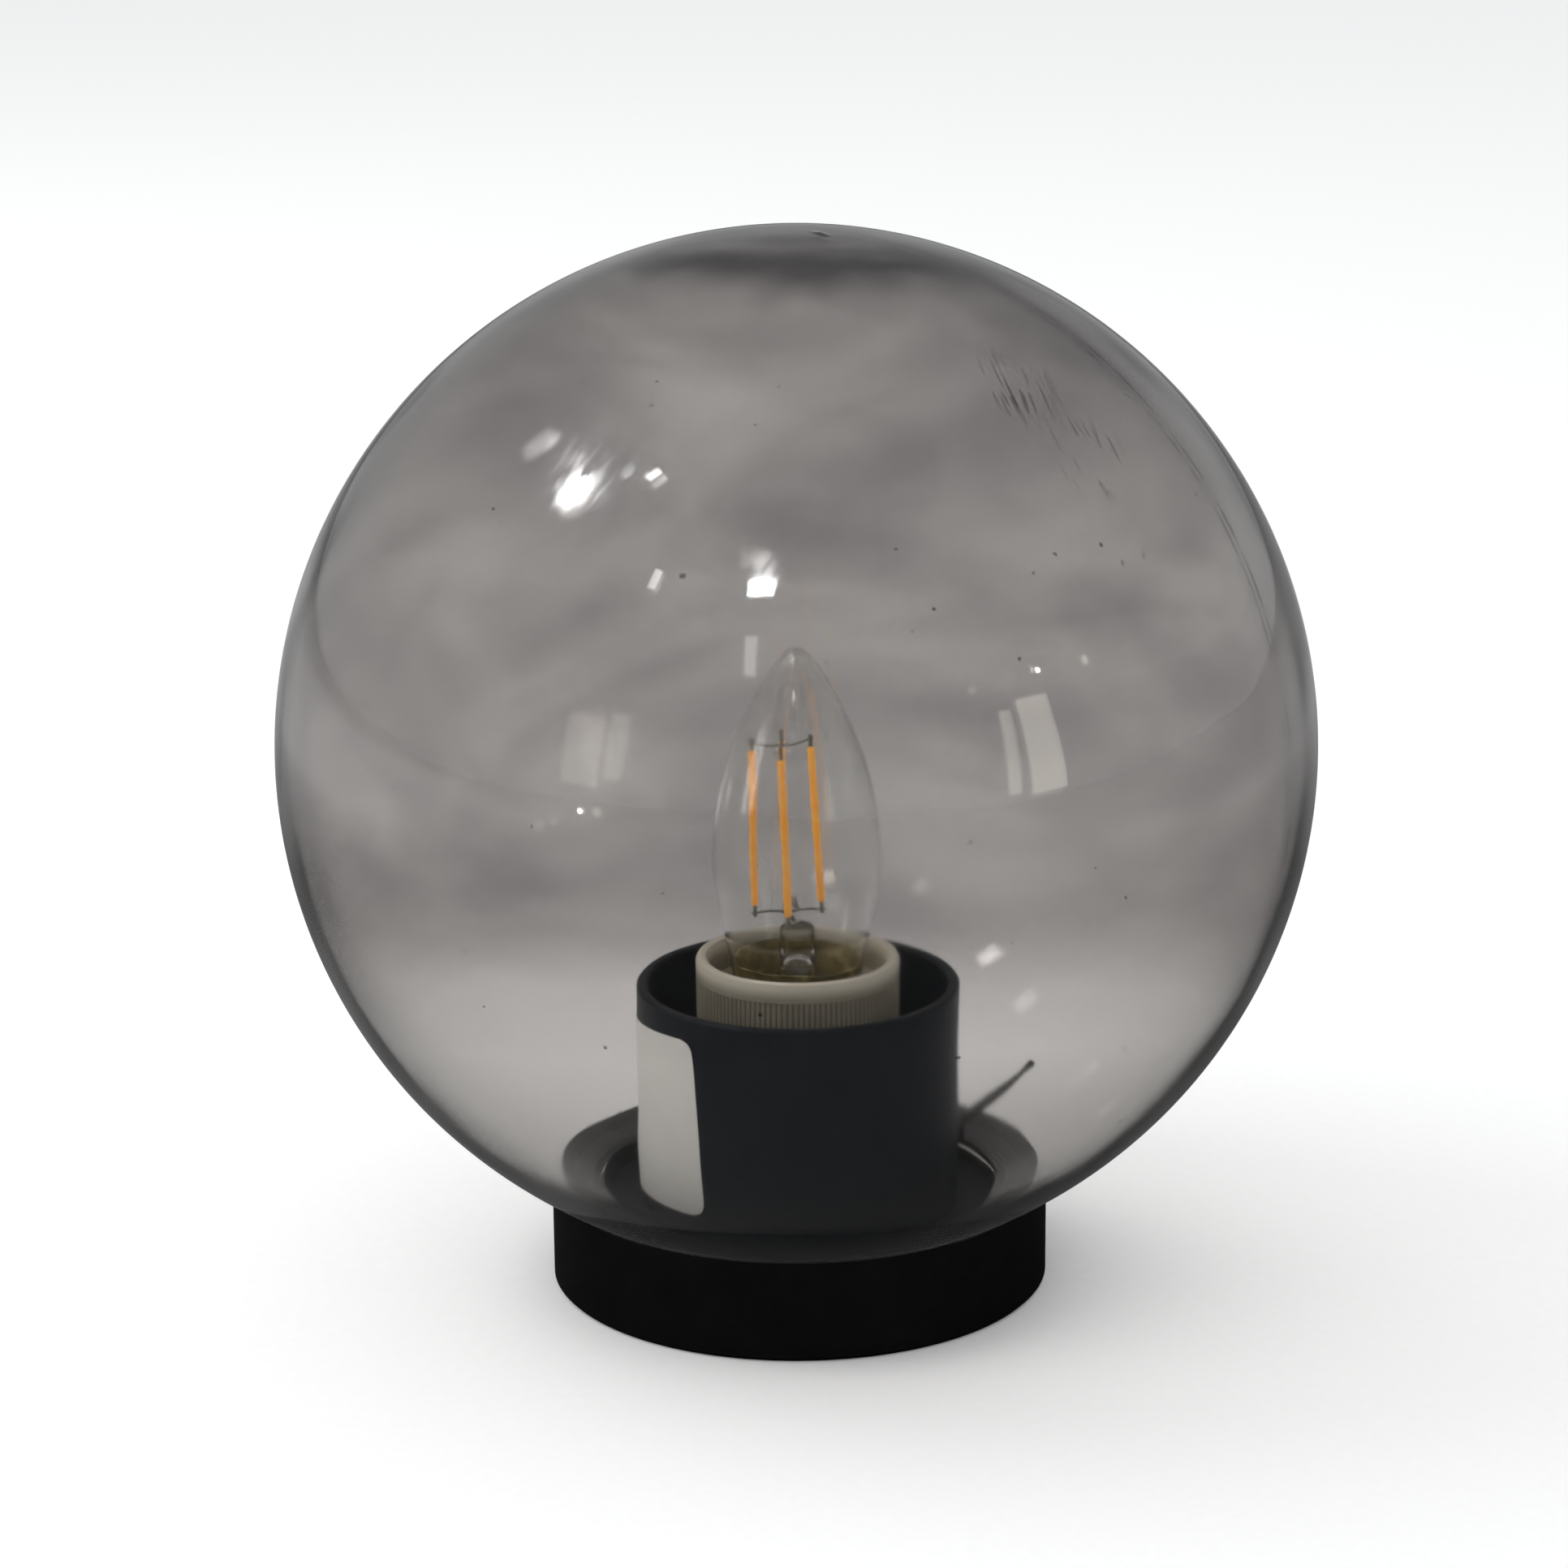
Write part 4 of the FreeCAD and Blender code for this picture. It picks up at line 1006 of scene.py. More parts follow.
# %% Filaments
def build_filament(index):
    """A tube from foot to top. Its radius is a half circle at each end, and slightly lumpy."""
    foot, top = filament_ends(index)
    share = np.linspace(0, 1, 48)[:, None]
    sway = 0.12 * MM * np.sin(TURN * (share * 0.8 + 0.23 * index))
    path = foot * (1 - share) + top * share
    path = path + sway * np.array([[math.sin(index), math.cos(index), 0]])
    share = share[:, 0]
    along = np.linalg.norm(top - foot) * share
    ends = np.clip(np.minimum(along, along[-1] - along) / (1.2 * FILAMENT_R), 0, 1)
    radius = FILAMENT_R * np.sqrt(np.clip(1 - (1 - ends) ** 2, 0.05, 1))
    lumps = 1 + 0.05 * np.sin(31 * share + index) + 0.04 * np.sin(13 * share + 2 * index)
    return grid_piece("filament_%d" % index, tube_points(path, radius * lumps, 20))


def filament_finish():
    """Yellow silicone over the diodes, deeper orange where it is thick, and a painted glow."""
    material, tree, place = new_material("yellow_phosphor")
    lumps = noise(tree, place, 500.0, 3.0)
    colour = colour_mix(tree, ramp(tree, lumps, 0.35, 0.65), (0.90, 0.33, 0.01), (0.95, 0.43, 0.02))
    # The emission is a painted glow that brightens the filaments, which are not lit.
    set_shader(tree, Base_Color=colour, Roughness=0.35, Specular_IOR_Level=0.2,
               Subsurface_Weight=0.1, Emission_Strength=0.5,
               Emission_Color=colour_mix(tree, lumps, (1.0, 0.34, 0.005), (1.0, 0.42, 0.01)),
               Normal=bump(tree, lumps, 0.5, 0.1 * MM))
    return material


filaments = joined_piece("yellow_filaments", [build_filament(index) for index in range(4)])
stands_for(filaments, "bulb_filaments", filament_finish())

# %% Wires and spikes
WIRE_R = 0.24 * MM
SPIKE_R = 0.42 * MM
BEAD = np.array([CAGE_TOP[0], CAGE_TOP[1], filament_high.z + 0.7 * MM])
HUB = np.array([CAGE_FOOT[0], CAGE_FOOT[1], filament_low.z - 1.2 * MM])
PRESS_TOP = stem_low.z + 17.0 * MM


def build_wires():
    """Each filament gets a flat spike at both ends, and a bent wire from the spike to the stem."""
    parts = []
    for index in range(4):
        foot, top = filament_ends(index)
        rise = (top - foot) / np.linalg.norm(top - foot)
        for name, end, way, length in (("top", top, 1, 2.2 * MM), ("foot", foot, -1, 1.9 * MM)):
            spike = np.linspace(end - rise * way * 0.6 * MM, end + rise * way * length, 5)
            parts.append(grid_piece("spike_%s_%d" % (name, index), tube_points(spike, SPIKE_R, 8)))
        sag = np.array([0, 0, (0.5 if index % 2 else -0.4) * MM])
        to_press = [HUB, HUB * 0.4 + np.array([0, 0, PRESS_TOP * 0.6])]
        for name, start, ends, bend in (("top", top + rise * 1.4 * MM, [BEAD], sag),
                                        ("foot", foot - rise * 1.2 * MM, to_press, -sag)):
            before = start - (ends[0] - start) * 0.12
            wire = smooth_path([before, start, (start + ends[0]) / 2 + bend] + ends, 8)
            parts.append(grid_piece("%s_wire_%d" % (name, index), tube_points(wire, WIRE_R, 8)))
    return joined_piece("bent_support_wires", parts)


stands_for(build_wires(), "bulb_support_wires", wire_metal)


# %% Glass stem
STEM_NECK_R = 3.6 * MM
STEM_WALL = 0.8 * MM
FLARE_HEIGHT = 8.0 * MM
CROWN_R = 3.4 * MM


def build_stem():
    """A flared tube that narrows to a pinched press, with a rod to the bead on top.

    The flare is a wall turned round the axis. The press is squeezed flat: its y shrinks with
    height. The rod's radius has two humps by a bell curve, at its foot and under the bead.
    """
    foot_z = stem_low.z + 0.1 * MM
    flare_top = foot_z + FLARE_HEIGHT
    outer_r = (stem_high.x - stem_low.x) / 2 - 0.1 * MM
    crown_z = PRESS_TOP - 1.0 * MM
    pocket_r, pocket_z = 2.6 * MM, PRESS_TOP - 8.6 * MM
    share = np.linspace(0, 1, 30)
    flare = np.stack([STEM_NECK_R + (outer_r - STEM_NECK_R) * (1 - share) ** 2.2,
                      foot_z + FLARE_HEIGHT * share], axis=1)
    crown = arc((0, crown_z), CROWN_R, 0, 90, 10)
    crown[:, 1] = crown_z + (crown[:, 1] - crown_z) * 0.5
    outer = np.vstack([flare, line((STEM_NECK_R, flare_top), (STEM_NECK_R * 0.95, crown_z), 16),
                       crown, [[0, PRESS_TOP + 0.7 * MM]]])
    inner = np.vstack([[[0, PRESS_TOP - 6.0 * MM]], arc((0, pocket_z), pocket_r, 80, 0, 8),
                       line((pocket_r, pocket_z), (pocket_r, flare_top), 4),
                       (flare - [STEM_WALL, 0])[::-1]])
    points = turned_points(np.vstack([outer[::-1], inner[::-1]]), 64)
    squeeze = smooth_step((points[..., 2] - foot_z - 6.0 * MM) / (6.0 * MM))
    points[..., 1] *= 1 - 0.5 * squeeze
    shell = grid_piece("stem_flare", points)
    share = np.linspace(0, 1, 40)[:, None]
    path = np.array([CAGE_FOOT[0] * 0.6, 0, PRESS_TOP]) * (1 - share) + BEAD * share
    rod_r = (1.1 + 0.9 * np.exp(-((share[:, 0] - 0.97) / 0.05) ** 2)
             + 0.8 * np.exp(-((share[:, 0] - 0.06) / 0.06) ** 2)) * MM
    rod = grid_piece("stem_rod", tube_points(path, rod_r, 20))
    return joined_piece("flared_glass_stem", [shell, rod])


stands_for(build_stem(), "bulb_stem", bulb_glass_clear)
dressed("bulb_cap_insulator", "black_cap_foot", cap_insulation, 0.3 * MM)
dressed("bulb_tip_contact", "solder_tip", tin, 0.3 * MM)
dressed("bulb_driver_board", "driver_board", green_board, 0.05 * MM)
dressed("bulb_driver_parts", "driver_parts", part_cases, 0.12 * MM)

# %% [markdown]
# ## Metal and wiring inside the tube
# Bracket, contacts, terminals and leads hardly show, but somebody who lifts the globe sees them,
# so each is dressed in its own metal or plastic with rounded edges.

# %% Dressed small pieces
for node, name, material, rounding in (
        ("lampholder_bracket", "zinc_bracket", zinc, 0.2 * MM),
        ("centre_contact", "bronze_centre_contact", bronze, 0.08 * MM),
        ("side_contact", "bronze_side_contact", bronze, 0.08 * MM),
        ("lampholder_terminals", "brass_terminals", brass, 0.2 * MM),
        ("lead_brown", "brown_lead", brown_sleeve, 0),
        ("lead_blue", "blue_lead", blue_sleeve, 0),
        ("connector_block", "milky_connector", milky_nylon, 0.25 * MM),
        ("connector_inserts", "brass_inserts", brass, 0.1 * MM)):
    dressed(node, name, material, rounding)

# %% [markdown]
# ## Screws
# A screw is a slotted head and a threaded shank. The head is drawn chord by chord: each row of
# the grid is one chord of the head's disc, from edge to edge on top and back underneath, and the
# rows within the slot lie lower, which leaves two clean walls. The shank's radius is a saw-tooth
# wave of the screw phase. Heads are sized from the solids, so each screw sits where its solid is.

# %% Slotted head
SHANK_SHARE = 0.53
HEAD_HEIGHT_SHARE = 0.62
SLOT_WIDTH_SHARE = 0.3
SLOT_DEPTH_SHARE = 0.55
THREAD_PITCH = 0.6 * MM
THREAD_DEPTH_SHARE = 0.18
SLOT_TURNS = (0.4, 1.3, 2.2, 0.9)
CHORD_STEPS = 25


def slotted_head(radius, height, slot_width, slot_depth):
    """Chords across a domed disc. y runs over the chord, and z is the dome or the slot's floor."""
    half = slot_width / 2
    bend = np.sin(np.linspace(-np.pi / 2, np.pi / 2, CHORD_STEPS)) * radius
    left, right = bend[bend < -half * 1.2], bend[bend > half * 1.2]
    x = np.concatenate([left, [-half, -half, half, half], right])
    in_slot = np.zeros(len(x), bool)
    in_slot[len(left) + 1:len(left) + 3] = True
    share = np.linspace(-1, 1, CHORD_STEPS)
    share = np.concatenate([share, -share])
    on_top = np.arange(len(share)) < CHORD_STEPS
    y = np.sqrt(np.clip(radius ** 2 - x ** 2, 0, None))[:, None] * share
    x = np.broadcast_to(x[:, None], y.shape)
    away = np.clip((x ** 2 + y ** 2) / radius ** 2, 0, 1)
    dome = height * (0.55 + 0.45 * np.sqrt(1 - away * 0.999))
    z = np.where(on_top, np.where(in_slot[:, None], height - slot_depth, dome), 0.0)
    return grid_piece("head", np.stack([x, y, z], axis=-1))


# %% Threaded shank
def threaded_shank(radius, length, pitch):
    """A rod with a pointed wave of the screw phase for its thread, and a cone at its end."""
    z = -np.linspace(0, length, max(int(length / pitch * 10), 24))
    r = np.where(z > -length + radius * 0.6, radius, radius * 0.55 + (z + length) / 0.6 * 0.45)
    profile = np.vstack([[0, 0], np.stack([r, z], axis=1), [0, -length]])

    def wave(a, z):
        phase = (z / pitch - a / TURN) % 1.0
        cut = -THREAD_DEPTH_SHARE * radius * np.abs(2 * phase - 1)
        return np.where((z < 0) & (z > -length), cut, 0)
    return turned_piece("shank", profile, 24, wave)


# %% Screws in their places
def build_screws(node, head_up=True):
    """A screw in each box of the node: the head fills the box's width, the shank a share of it."""
    screws = []
    for index, (low, high) in enumerate(loose_boxes(node)):
        head_r = (high[0] - low[0]) / 2
        shank_r = head_r * SHANK_SHARE
        head_height = shank_r * 2 * HEAD_HEIGHT_SHARE
        head = slotted_head(head_r * 0.99, head_height * 0.98,
                            head_r * SLOT_WIDTH_SHARE, head_height * SLOT_DEPTH_SHARE)
        shank = threaded_shank(shank_r, high[2] - low[2] - head_height, THREAD_PITCH)
        screw = joined_piece("screw", [head, shank])
        x, y, z = (low + high) / 2
        z = high[2] - head_height if head_up else low[2] + head_height
        turn = Matrix.Rotation(SLOT_TURNS[index % len(SLOT_TURNS)], 4, "Z")
        flip = Matrix.Rotation(0 if head_up else math.pi, 4, "X")
        screw.data.transform(Matrix.Translation((x, y, z)) @ turn @ flip)
        screws.append(screw)
    return joined_piece(node + "_slotted", screws)


for node, material, head_up in (("tube_screws", zinc, True), ("bracket_screws", zinc, True),
                                ("lampholder_screws", zinc, True), ("terminal_screws", brass, True),
                                ("connector_screws", zinc, False),
                                ("connector_fixing_screw", zinc, False)):
    stands_for(build_screws(node, head_up), node, material)

# %% [markdown]
# ## The cable tie
# A black nylon tie holds the leads to the tube's wall. Its strap passes out through two slots
# and into a small head, and the cut-off tail sticks out to the right, where the globe's light
# shows it plainly. The tail is a strip: a flat section carried along a path and turned slowly
# about it, with a row of fine teeth across one face, as a sine of the distance along the strip.

# %% Sizes of the tie
WIRING_ANGLE = math.radians(28.0)
TIE_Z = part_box("tube_tie")[0].z + 2.2 * MM
STRAP_IN_X = 23.75 * MM
STRAP_OUT_X = 33.15 * MM
STRAP_SIDE_Y = 7.0 * MM
STRAP_WIDTH = 2.4 * MM
STRAP_THICKNESS = 1.1 * MM
STRAP_CORNER_R = 1.6 * MM
TAIL_SIDE_Y = -3.0 * MM
TAIL_RISE = math.radians(30.0)
TAIL_LENGTH = 23.4 * MM
TAIL_WIDTH = 2.3 * MM
TAIL_THICKNESS = 1.0 * MM
TEETH_PITCH = 1.5 * MM
HEAD_HALVES = (1.8 * MM, 2.3 * MM, 2.2 * MM)


def tie_place(x, y, z):
    """From the tie's own x, out along the wiring, and y, beside it, to the fixture's x, y, z."""
    c, s = math.cos(WIRING_ANGLE), math.sin(WIRING_ANGLE)
    return np.stack(np.broadcast_arrays(x * c - y * s, x * s + y * c, z), axis=-1)


# %% Strap and head of the tie
def build_strap():
    """A flat section carried round a rectangle whose corners are quarter circles."""
    half_x = (STRAP_OUT_X - STRAP_IN_X - STRAP_THICKNESS) / 2 - STRAP_CORNER_R
    half_y = STRAP_SIDE_Y - STRAP_THICKNESS / 2 - STRAP_CORNER_R
    angle = full_circle(48) + TURN / 96
    way = np.stack([np.cos(angle), np.sin(angle)], axis=1)
    path = way * STRAP_CORNER_R + np.sign(way) * [half_x, half_y]
    path = path + [(STRAP_OUT_X + STRAP_IN_X) / 2, 0]
    out, rise = squared_round(full_circle(16), 0.5, 0.5)
    xy = path[:, None] + way[:, None] * (out * STRAP_THICKNESS / 2)[None, :, None]
    points = tie_place(xy[..., 0], xy[..., 1], TIE_Z + rise * STRAP_WIDTH / 2)
    return grid_piece("tie_strap", points, wrap_rows=True)


def build_tie_head():
    """A small box with round edges: a squared round that shrinks to flat ends."""
    share = np.linspace(-1, 1, 15)[:, None]
    size = np.clip(1 - np.abs(share) ** 8, 0, 1) ** 0.25
    across, over = squared_round(full_circle(32), 0.4, 0.4)
    half_x, half_y, half_z = HEAD_HALVES
    x = STRAP_OUT_X - STRAP_THICKNESS + half_x + size * across * half_x
    y = TAIL_SIDE_Y + share * half_y
    return grid_piece("tie_head", tie_place(x, y, TIE_Z + size * over * half_z))


# %% Tail of the tie
def strip_points(path, twist):
    """A flat section with round ends at each path point, turned about the path by the twist there.

    The section's half width shrinks by a half circle at both ends of the path. Over the face, the
    thickness is 1 plus a sine of the distance along the path, which makes the teeth.
    """
    tangent = unit(np.gradient(path, axis=0))
    side = unit(np.cross(tangent, (0, 0, 1)))
    up = np.cross(side, tangent)
    angle = full_circle(20)
    across, over = squared_round(angle, 0.4, 0.8)
    along = np.concatenate([[0], np.cumsum(np.linalg.norm(np.diff(path, axis=0), axis=1))])
    teeth = 1 + 0.16 * np.sin(TURN * along / TEETH_PITCH)[:, None] * (np.sin(angle) > 0.2)
    near_end = np.clip(np.minimum(along, along[-1] - along) / (0.5 * TAIL_WIDTH), 0, 1)
    across = across * TAIL_WIDTH / 2 * np.sqrt(1 - (1 - near_end) ** 2)[:, None]
    over = over * TAIL_THICKNESS / 2 * teeth
    c, s = np.cos(twist)[:, None], np.sin(twist)[:, None]
    u, v = across * c - over * s, across * s + over * c
    return path[:, None] + side[:, None] * u[..., None] + up[:, None] * v[..., None]


def build_tie_tail():
    """The cut-off end: a strip that rises from the head, droops, and twists by 150 degrees."""
    share = np.linspace(0, 1, 90)
    out = STRAP_OUT_X - 0.4 * MM + share * TAIL_LENGTH * math.cos(TAIL_RISE)
    droop = -0.5 * MM * np.sin(np.pi * share) + 0.25 * MM * np.sin(TURN * share)
    height = TIE_Z + share * TAIL_LENGTH * math.sin(TAIL_RISE) + droop
    side = TAIL_SIDE_Y + 0.4 * MM * np.sin(np.pi * share)
    twist = math.radians(90) + math.radians(150) * share ** 1.3
    return grid_piece("tie_tail", strip_points(tie_place(out, side, height), twist))


cable_tie = joined_piece("cable_tie", [build_strap(), build_tie_head(), build_tie_tail()])
stands_for(cable_tie, "tube_tie", black_nylon)

# %% [markdown]
# ## The paper label
# A plain white paper sticker is wrapped round the tube's left side. It is a grid bent onto the
# cylinder: one way runs round the tube and the other up it, and the rows near a corner are
# shorter, by the circle of the corner. It was stuck on a little crooked, and its free corner
# has begun to lift.

# %% Label
TUBE_R = ring_radius("lamp_tube", 30 * MM, 61 * MM)
LABEL_WIDTH = 40 * MM
LABEL_HEIGHT = 35.5 * MM
LABEL_CORNER = 2.6 * MM
LABEL_THICKNESS = 0.09 * MM
LABEL_GAP = 0.08 * MM
LABEL_RIGHT_ANGLE = math.radians(-127.5)
LABEL_MIDDLE_Z = 36.4 * MM
LABEL_TILT = math.radians(4.5)
LABEL_COLUMNS = 64
LIFTED_CORNER = 0.5 * MM
LIFTED_REACH = 9 * MM
PAPER_WAVE = 0.06 * MM


def build_label():
    """Front columns from left to right, then the back ones, a paper's thickness nearer the tube."""
    rows = np.concatenate([[-1], np.linspace(-1, 1, 60), [1]])
    v = rows * LABEL_HEIGHT / 2
    beyond = np.clip(np.abs(v) - (LABEL_HEIGHT / 2 - LABEL_CORNER), 0, LABEL_CORNER)
    half = LABEL_WIDTH / 2 - LABEL_CORNER + np.sqrt(LABEL_CORNER ** 2 - beyond ** 2)
    share = np.linspace(-1, 1, LABEL_COLUMNS)
    u = half[:, None] * np.concatenate([share, share[::-1]])[None]
    v = np.broadcast_to(v[:, None], u.shape)
    corner = np.hypot(u - LABEL_WIDTH / 2, v - LABEL_HEIGHT / 2)
    lift = LIFTED_CORNER * np.clip(1 - corner / LIFTED_REACH, 0, 1) ** 2
    lift = lift + PAPER_WAVE * np.sin(u * 900) * (v / LABEL_HEIGHT)
    front = np.broadcast_to(np.arange(2 * LABEL_COLUMNS)[None] < LABEL_COLUMNS, u.shape).copy()
    front[[0, -1]] = False
    r = TUBE_R + LABEL_GAP + np.abs(lift) + np.where(front, LABEL_THICKNESS, 0)
    around = u * math.cos(LABEL_TILT) - v * math.sin(LABEL_TILT)
    z = LABEL_MIDDLE_Z + u * math.sin(LABEL_TILT) + v * math.cos(LABEL_TILT)
    angle = LABEL_RIGHT_ANGLE + (around - LABEL_WIDTH / 2) / TUBE_R
    points = np.stack([r * np.cos(angle), r * np.sin(angle), z], axis=-1)
    return grid_piece("bare_paper_label", points)


def paper_finish():
    """Matt white paper with fine fibres, a little yellowed, and greyed in soft patches."""
    material, tree, place = new_material("white_paper")
    fibres = noise(tree, place, 3000.0, 4.0)
    colour = colour_mix(tree, ramp(tree, fibres, 0.3, 0.7),
                        (0.64, 0.635, 0.60), (0.71, 0.705, 0.67))
    patch = times(tree, ramp(tree, noise(tree, place, 70.0, 3.0), 0.5, 0.8), 0.35)
    set_shader(tree, Base_Color=colour_mix(tree, patch, colour, (0.60, 0.59, 0.56)),
               Roughness=0.62, Normal=bump(tree, fibres, 0.4, 0.03 * MM))
    return material


label = build_label()
label.data.materials.append(paper_finish())
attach(label, body_of["lamp_tube"])

# %% [markdown]
# ## The smoked globe
# The globe is blown acrylic, tinted grey through and through, with a moulded screw neck. Its wall
# has an outer and an inner face, so it shows the doubled glints of the real one. The tint is part
# in the surface and part in the wall itself, where slanting light travels further: that darkens
# the rim. The neck's thread is a helical groove, cut into the outer face only.

# %% Globe wall and neck
NECK_R = ring_radius("globe", globe_low.z, globe_low.z + 1 * MM)
WALL = 2.5 * MM
NECK_WALL = 2.7 * MM
NECK_PITCH = 6.0 * MM
NECK_GROOVE = 0.9 * MM
LIP_ROUND = 0.7 * MM
NUB_X = 5.0 * MM
NUB_Y = -7.0 * MM
NUB_HEIGHT = 0.28 * MM
NUB_R = 0.9 * MM
GLOBE_COLUMNS = 224


def build_globe():
    """Half circles for the two faces and lines for the neck, turned round the axis.

    On the neck's outer rows the radius loses a groove: the depth times a narrow hump of the screw
    phase, which is height over pitch less the turn. Near the top, the nub that the mould's gate
    left stands up by a bell curve.
    """
    inner_r = GLOBE_R - WALL
    inner_neck_r = NECK_R - NECK_WALL
    root = -math.degrees(math.acos(NECK_R / GLOBE_R))
    inner_root = -math.degrees(math.acos(inner_neck_r / inner_r))
    root_z = CENTRE_Z + GLOBE_R * math.sin(math.radians(root))
    inner_root_z = CENTRE_Z + inner_r * math.sin(math.radians(inner_root))
    lip_z = globe_low.z + LIP_ROUND
    outer = arc((0, CENTRE_Z), GLOBE_R, 90, root, 150)
    neck = line((NECK_R, root_z), (NECK_R, lip_z), 60)
    profile = np.vstack([outer, neck, arc((NECK_R - LIP_ROUND, lip_z), LIP_ROUND, 0, -90, 6),
                         arc((inner_neck_r + LIP_ROUND, lip_z), LIP_ROUND, -90, -180, 6),
                         line((inner_neck_r, lip_z), (inner_neck_r, inner_root_z), 12),
                         arc((0, CENTRE_Z), inner_r, inner_root, 90, 130),
                         [[0, CENTRE_Z + inner_r]]])
    points = turned_points(profile, GLOBE_COLUMNS)
    rows = slice(len(outer), len(outer) + len(neck))
    z = points[rows, :, 2]
    phase = (z / NECK_PITCH - full_circle(GLOBE_COLUMNS) / TURN) % 1.0
    hump = np.clip(1.6 - 5.0 * np.abs(phase - 0.5), 0, 1)
    ends = np.minimum(root_z - 0.6 * MM - z, z - globe_low.z - 0.9 * MM) / (0.8 * MM)
    groove = NECK_GROOVE / NECK_R * hump * np.clip(ends, 0, 1)
    points[rows, :, :2] *= (1 - groove)[..., None]
    from_nub = np.hypot(points[..., 0] - NUB_X, points[..., 1] - NUB_Y)
    at_top = points[..., 2] > CENTRE_Z + GLOBE_R * 0.985
    points[..., 2] += np.where(at_top, NUB_HEIGHT * np.exp(-(from_nub / NUB_R) ** 2), 0)
    return grid_piece("smoked_globe", points, sharp=math.radians(60))


globe = build_globe()

# %% [markdown]
# ## Marks in the acrylic
# A blown globe is never clean: a seam from the two halves of the mould runs over it from pole to
# pole, the tint is darker in a ring round the top on the near side, and handling has left specks
# and short scratches. Each mark is a mask made from the place on the globe: the seam is the
# distance to an upright plane near the axis, and the ring the distance from the axis near the top.
# Noise stretched along one way makes scratches and wiping streaks, which a distance keeps in place.

# %% Masks of the marks
SEAM_NORMAL = (0.4038, 0.9143, -0.0311)
SEAM_PLANE = -3.2 * MM + SEAM_NORMAL[2] * CENTRE_Z
RING_BOTTOM_Z = CENTRE_Z + 80 * MM
RING_FULL_Z = CENTRE_Z + 90 * MM
SCRATCH_PIXELS = ((1255, 475), (1345, 560))
SCRATCH_REACH = 10 * MM
SMEARS = (((728, 572), 14 * MM, 0.18), ((940, 700), 5 * MM, 0.15))


def distance_to(tree, place, point):
    return vector_maths(tree, "DISTANCE", place, point)


def near_pixel(tree, place, pixel, reach, core):
    """1 about the place on the globe that a pixel shows, and 0 from the reach on."""
    return ramp(tree, distance_to(tree, place, bounce_off_globe(pixel)[0]), reach, reach * core)


def seam_masks(tree, place, x, z):
    """The broken line of the seam, and the soft shade beside it, which is deepest near the top."""
    along_normal = vector_maths(tree, "DOT_PRODUCT", place, SEAM_NORMAL)
    off_seam = maths(tree, "ABSOLUTE", maths(tree, "SUBTRACT", along_normal, SEAM_PLANE))
    right_half = ramp(tree, x, 0.0, 10 * MM)
    broken = ramp(tree, noise(tree, place, 160.0, 1.0), 0.40, 0.62)
    seam = times(tree, ramp(tree, off_seam, 0.8 * MM, 0.3 * MM), broken, 0.75, right_half)
    near_top = times(tree, ramp(tree, z, CENTRE_Z + 66 * MM, CENTRE_Z + 84 * MM),
                     ramp(tree, x, 15 * MM, 30 * MM))
    shade_depth = scaled(tree, near_top, 0.55, 0.25)
    return seam, times(tree, ramp(tree, off_seam, 5 * MM, 0.0), shade_depth, right_half)


def ring_mask(tree, place, x, y, z):
    """A dark ring by the distance from the axis, made uneven by noise, on the near side only."""
    from_axis = maths(tree, "POWER", maths(tree, "ADD", times(tree, x, x), times(tree, y, y)), 0.5)
    swirl = noise(tree, place, 45.0, 1.0, distortion=0.6)
    uneven = scaled(tree, maths(tree, "SUBTRACT", swirl, 0.5), 30 * MM, from_axis)
    return times(tree, ramp(tree, uneven, 16 * MM, 24 * MM), ramp(tree, uneven, 40 * MM, 29 * MM),
                 ramp(tree, z, RING_BOTTOM_Z, RING_FULL_Z), ramp(tree, y, 6 * MM, -14 * MM))


def dark_marks(tree, place, seam):
    """The largest of the masks of seam, nub, specks and scratches."""
    nub = ramp(tree, distance_to(tree, place, (NUB_X, NUB_Y, globe_high.z)), 2.2 * MM, 0.8 * MM)
    specks = ramp(tree, noise(tree, place, 520.0, 0.0), 0.885, 0.90)
    marks = maths(tree, "MAXIMUM", maths(tree, "MAXIMUM", seam, nub), specks)
    along = stretched(tree, place, (0.55, 7.0, 7.0), (0, -0.46, 0), "TEXTURE")
    dashes = ramp(tree, noise(tree, along, 700.0, 0.0), 0.64, 0.69)
    for pixel in SCRATCH_PIXELS:
        near = near_pixel(tree, place, pixel, SCRATCH_REACH, 0.4)
        marks = maths(tree, "MAXIMUM", marks, times(tree, dashes, near, 0.8))
    return marks


# %% Globe finish
# Height and slant of the painted light that makes the lower globe paler.
PAINTED_LIGHT_Z = 72 * MM
PAINTED_LIGHT_SLOPE = 0.25


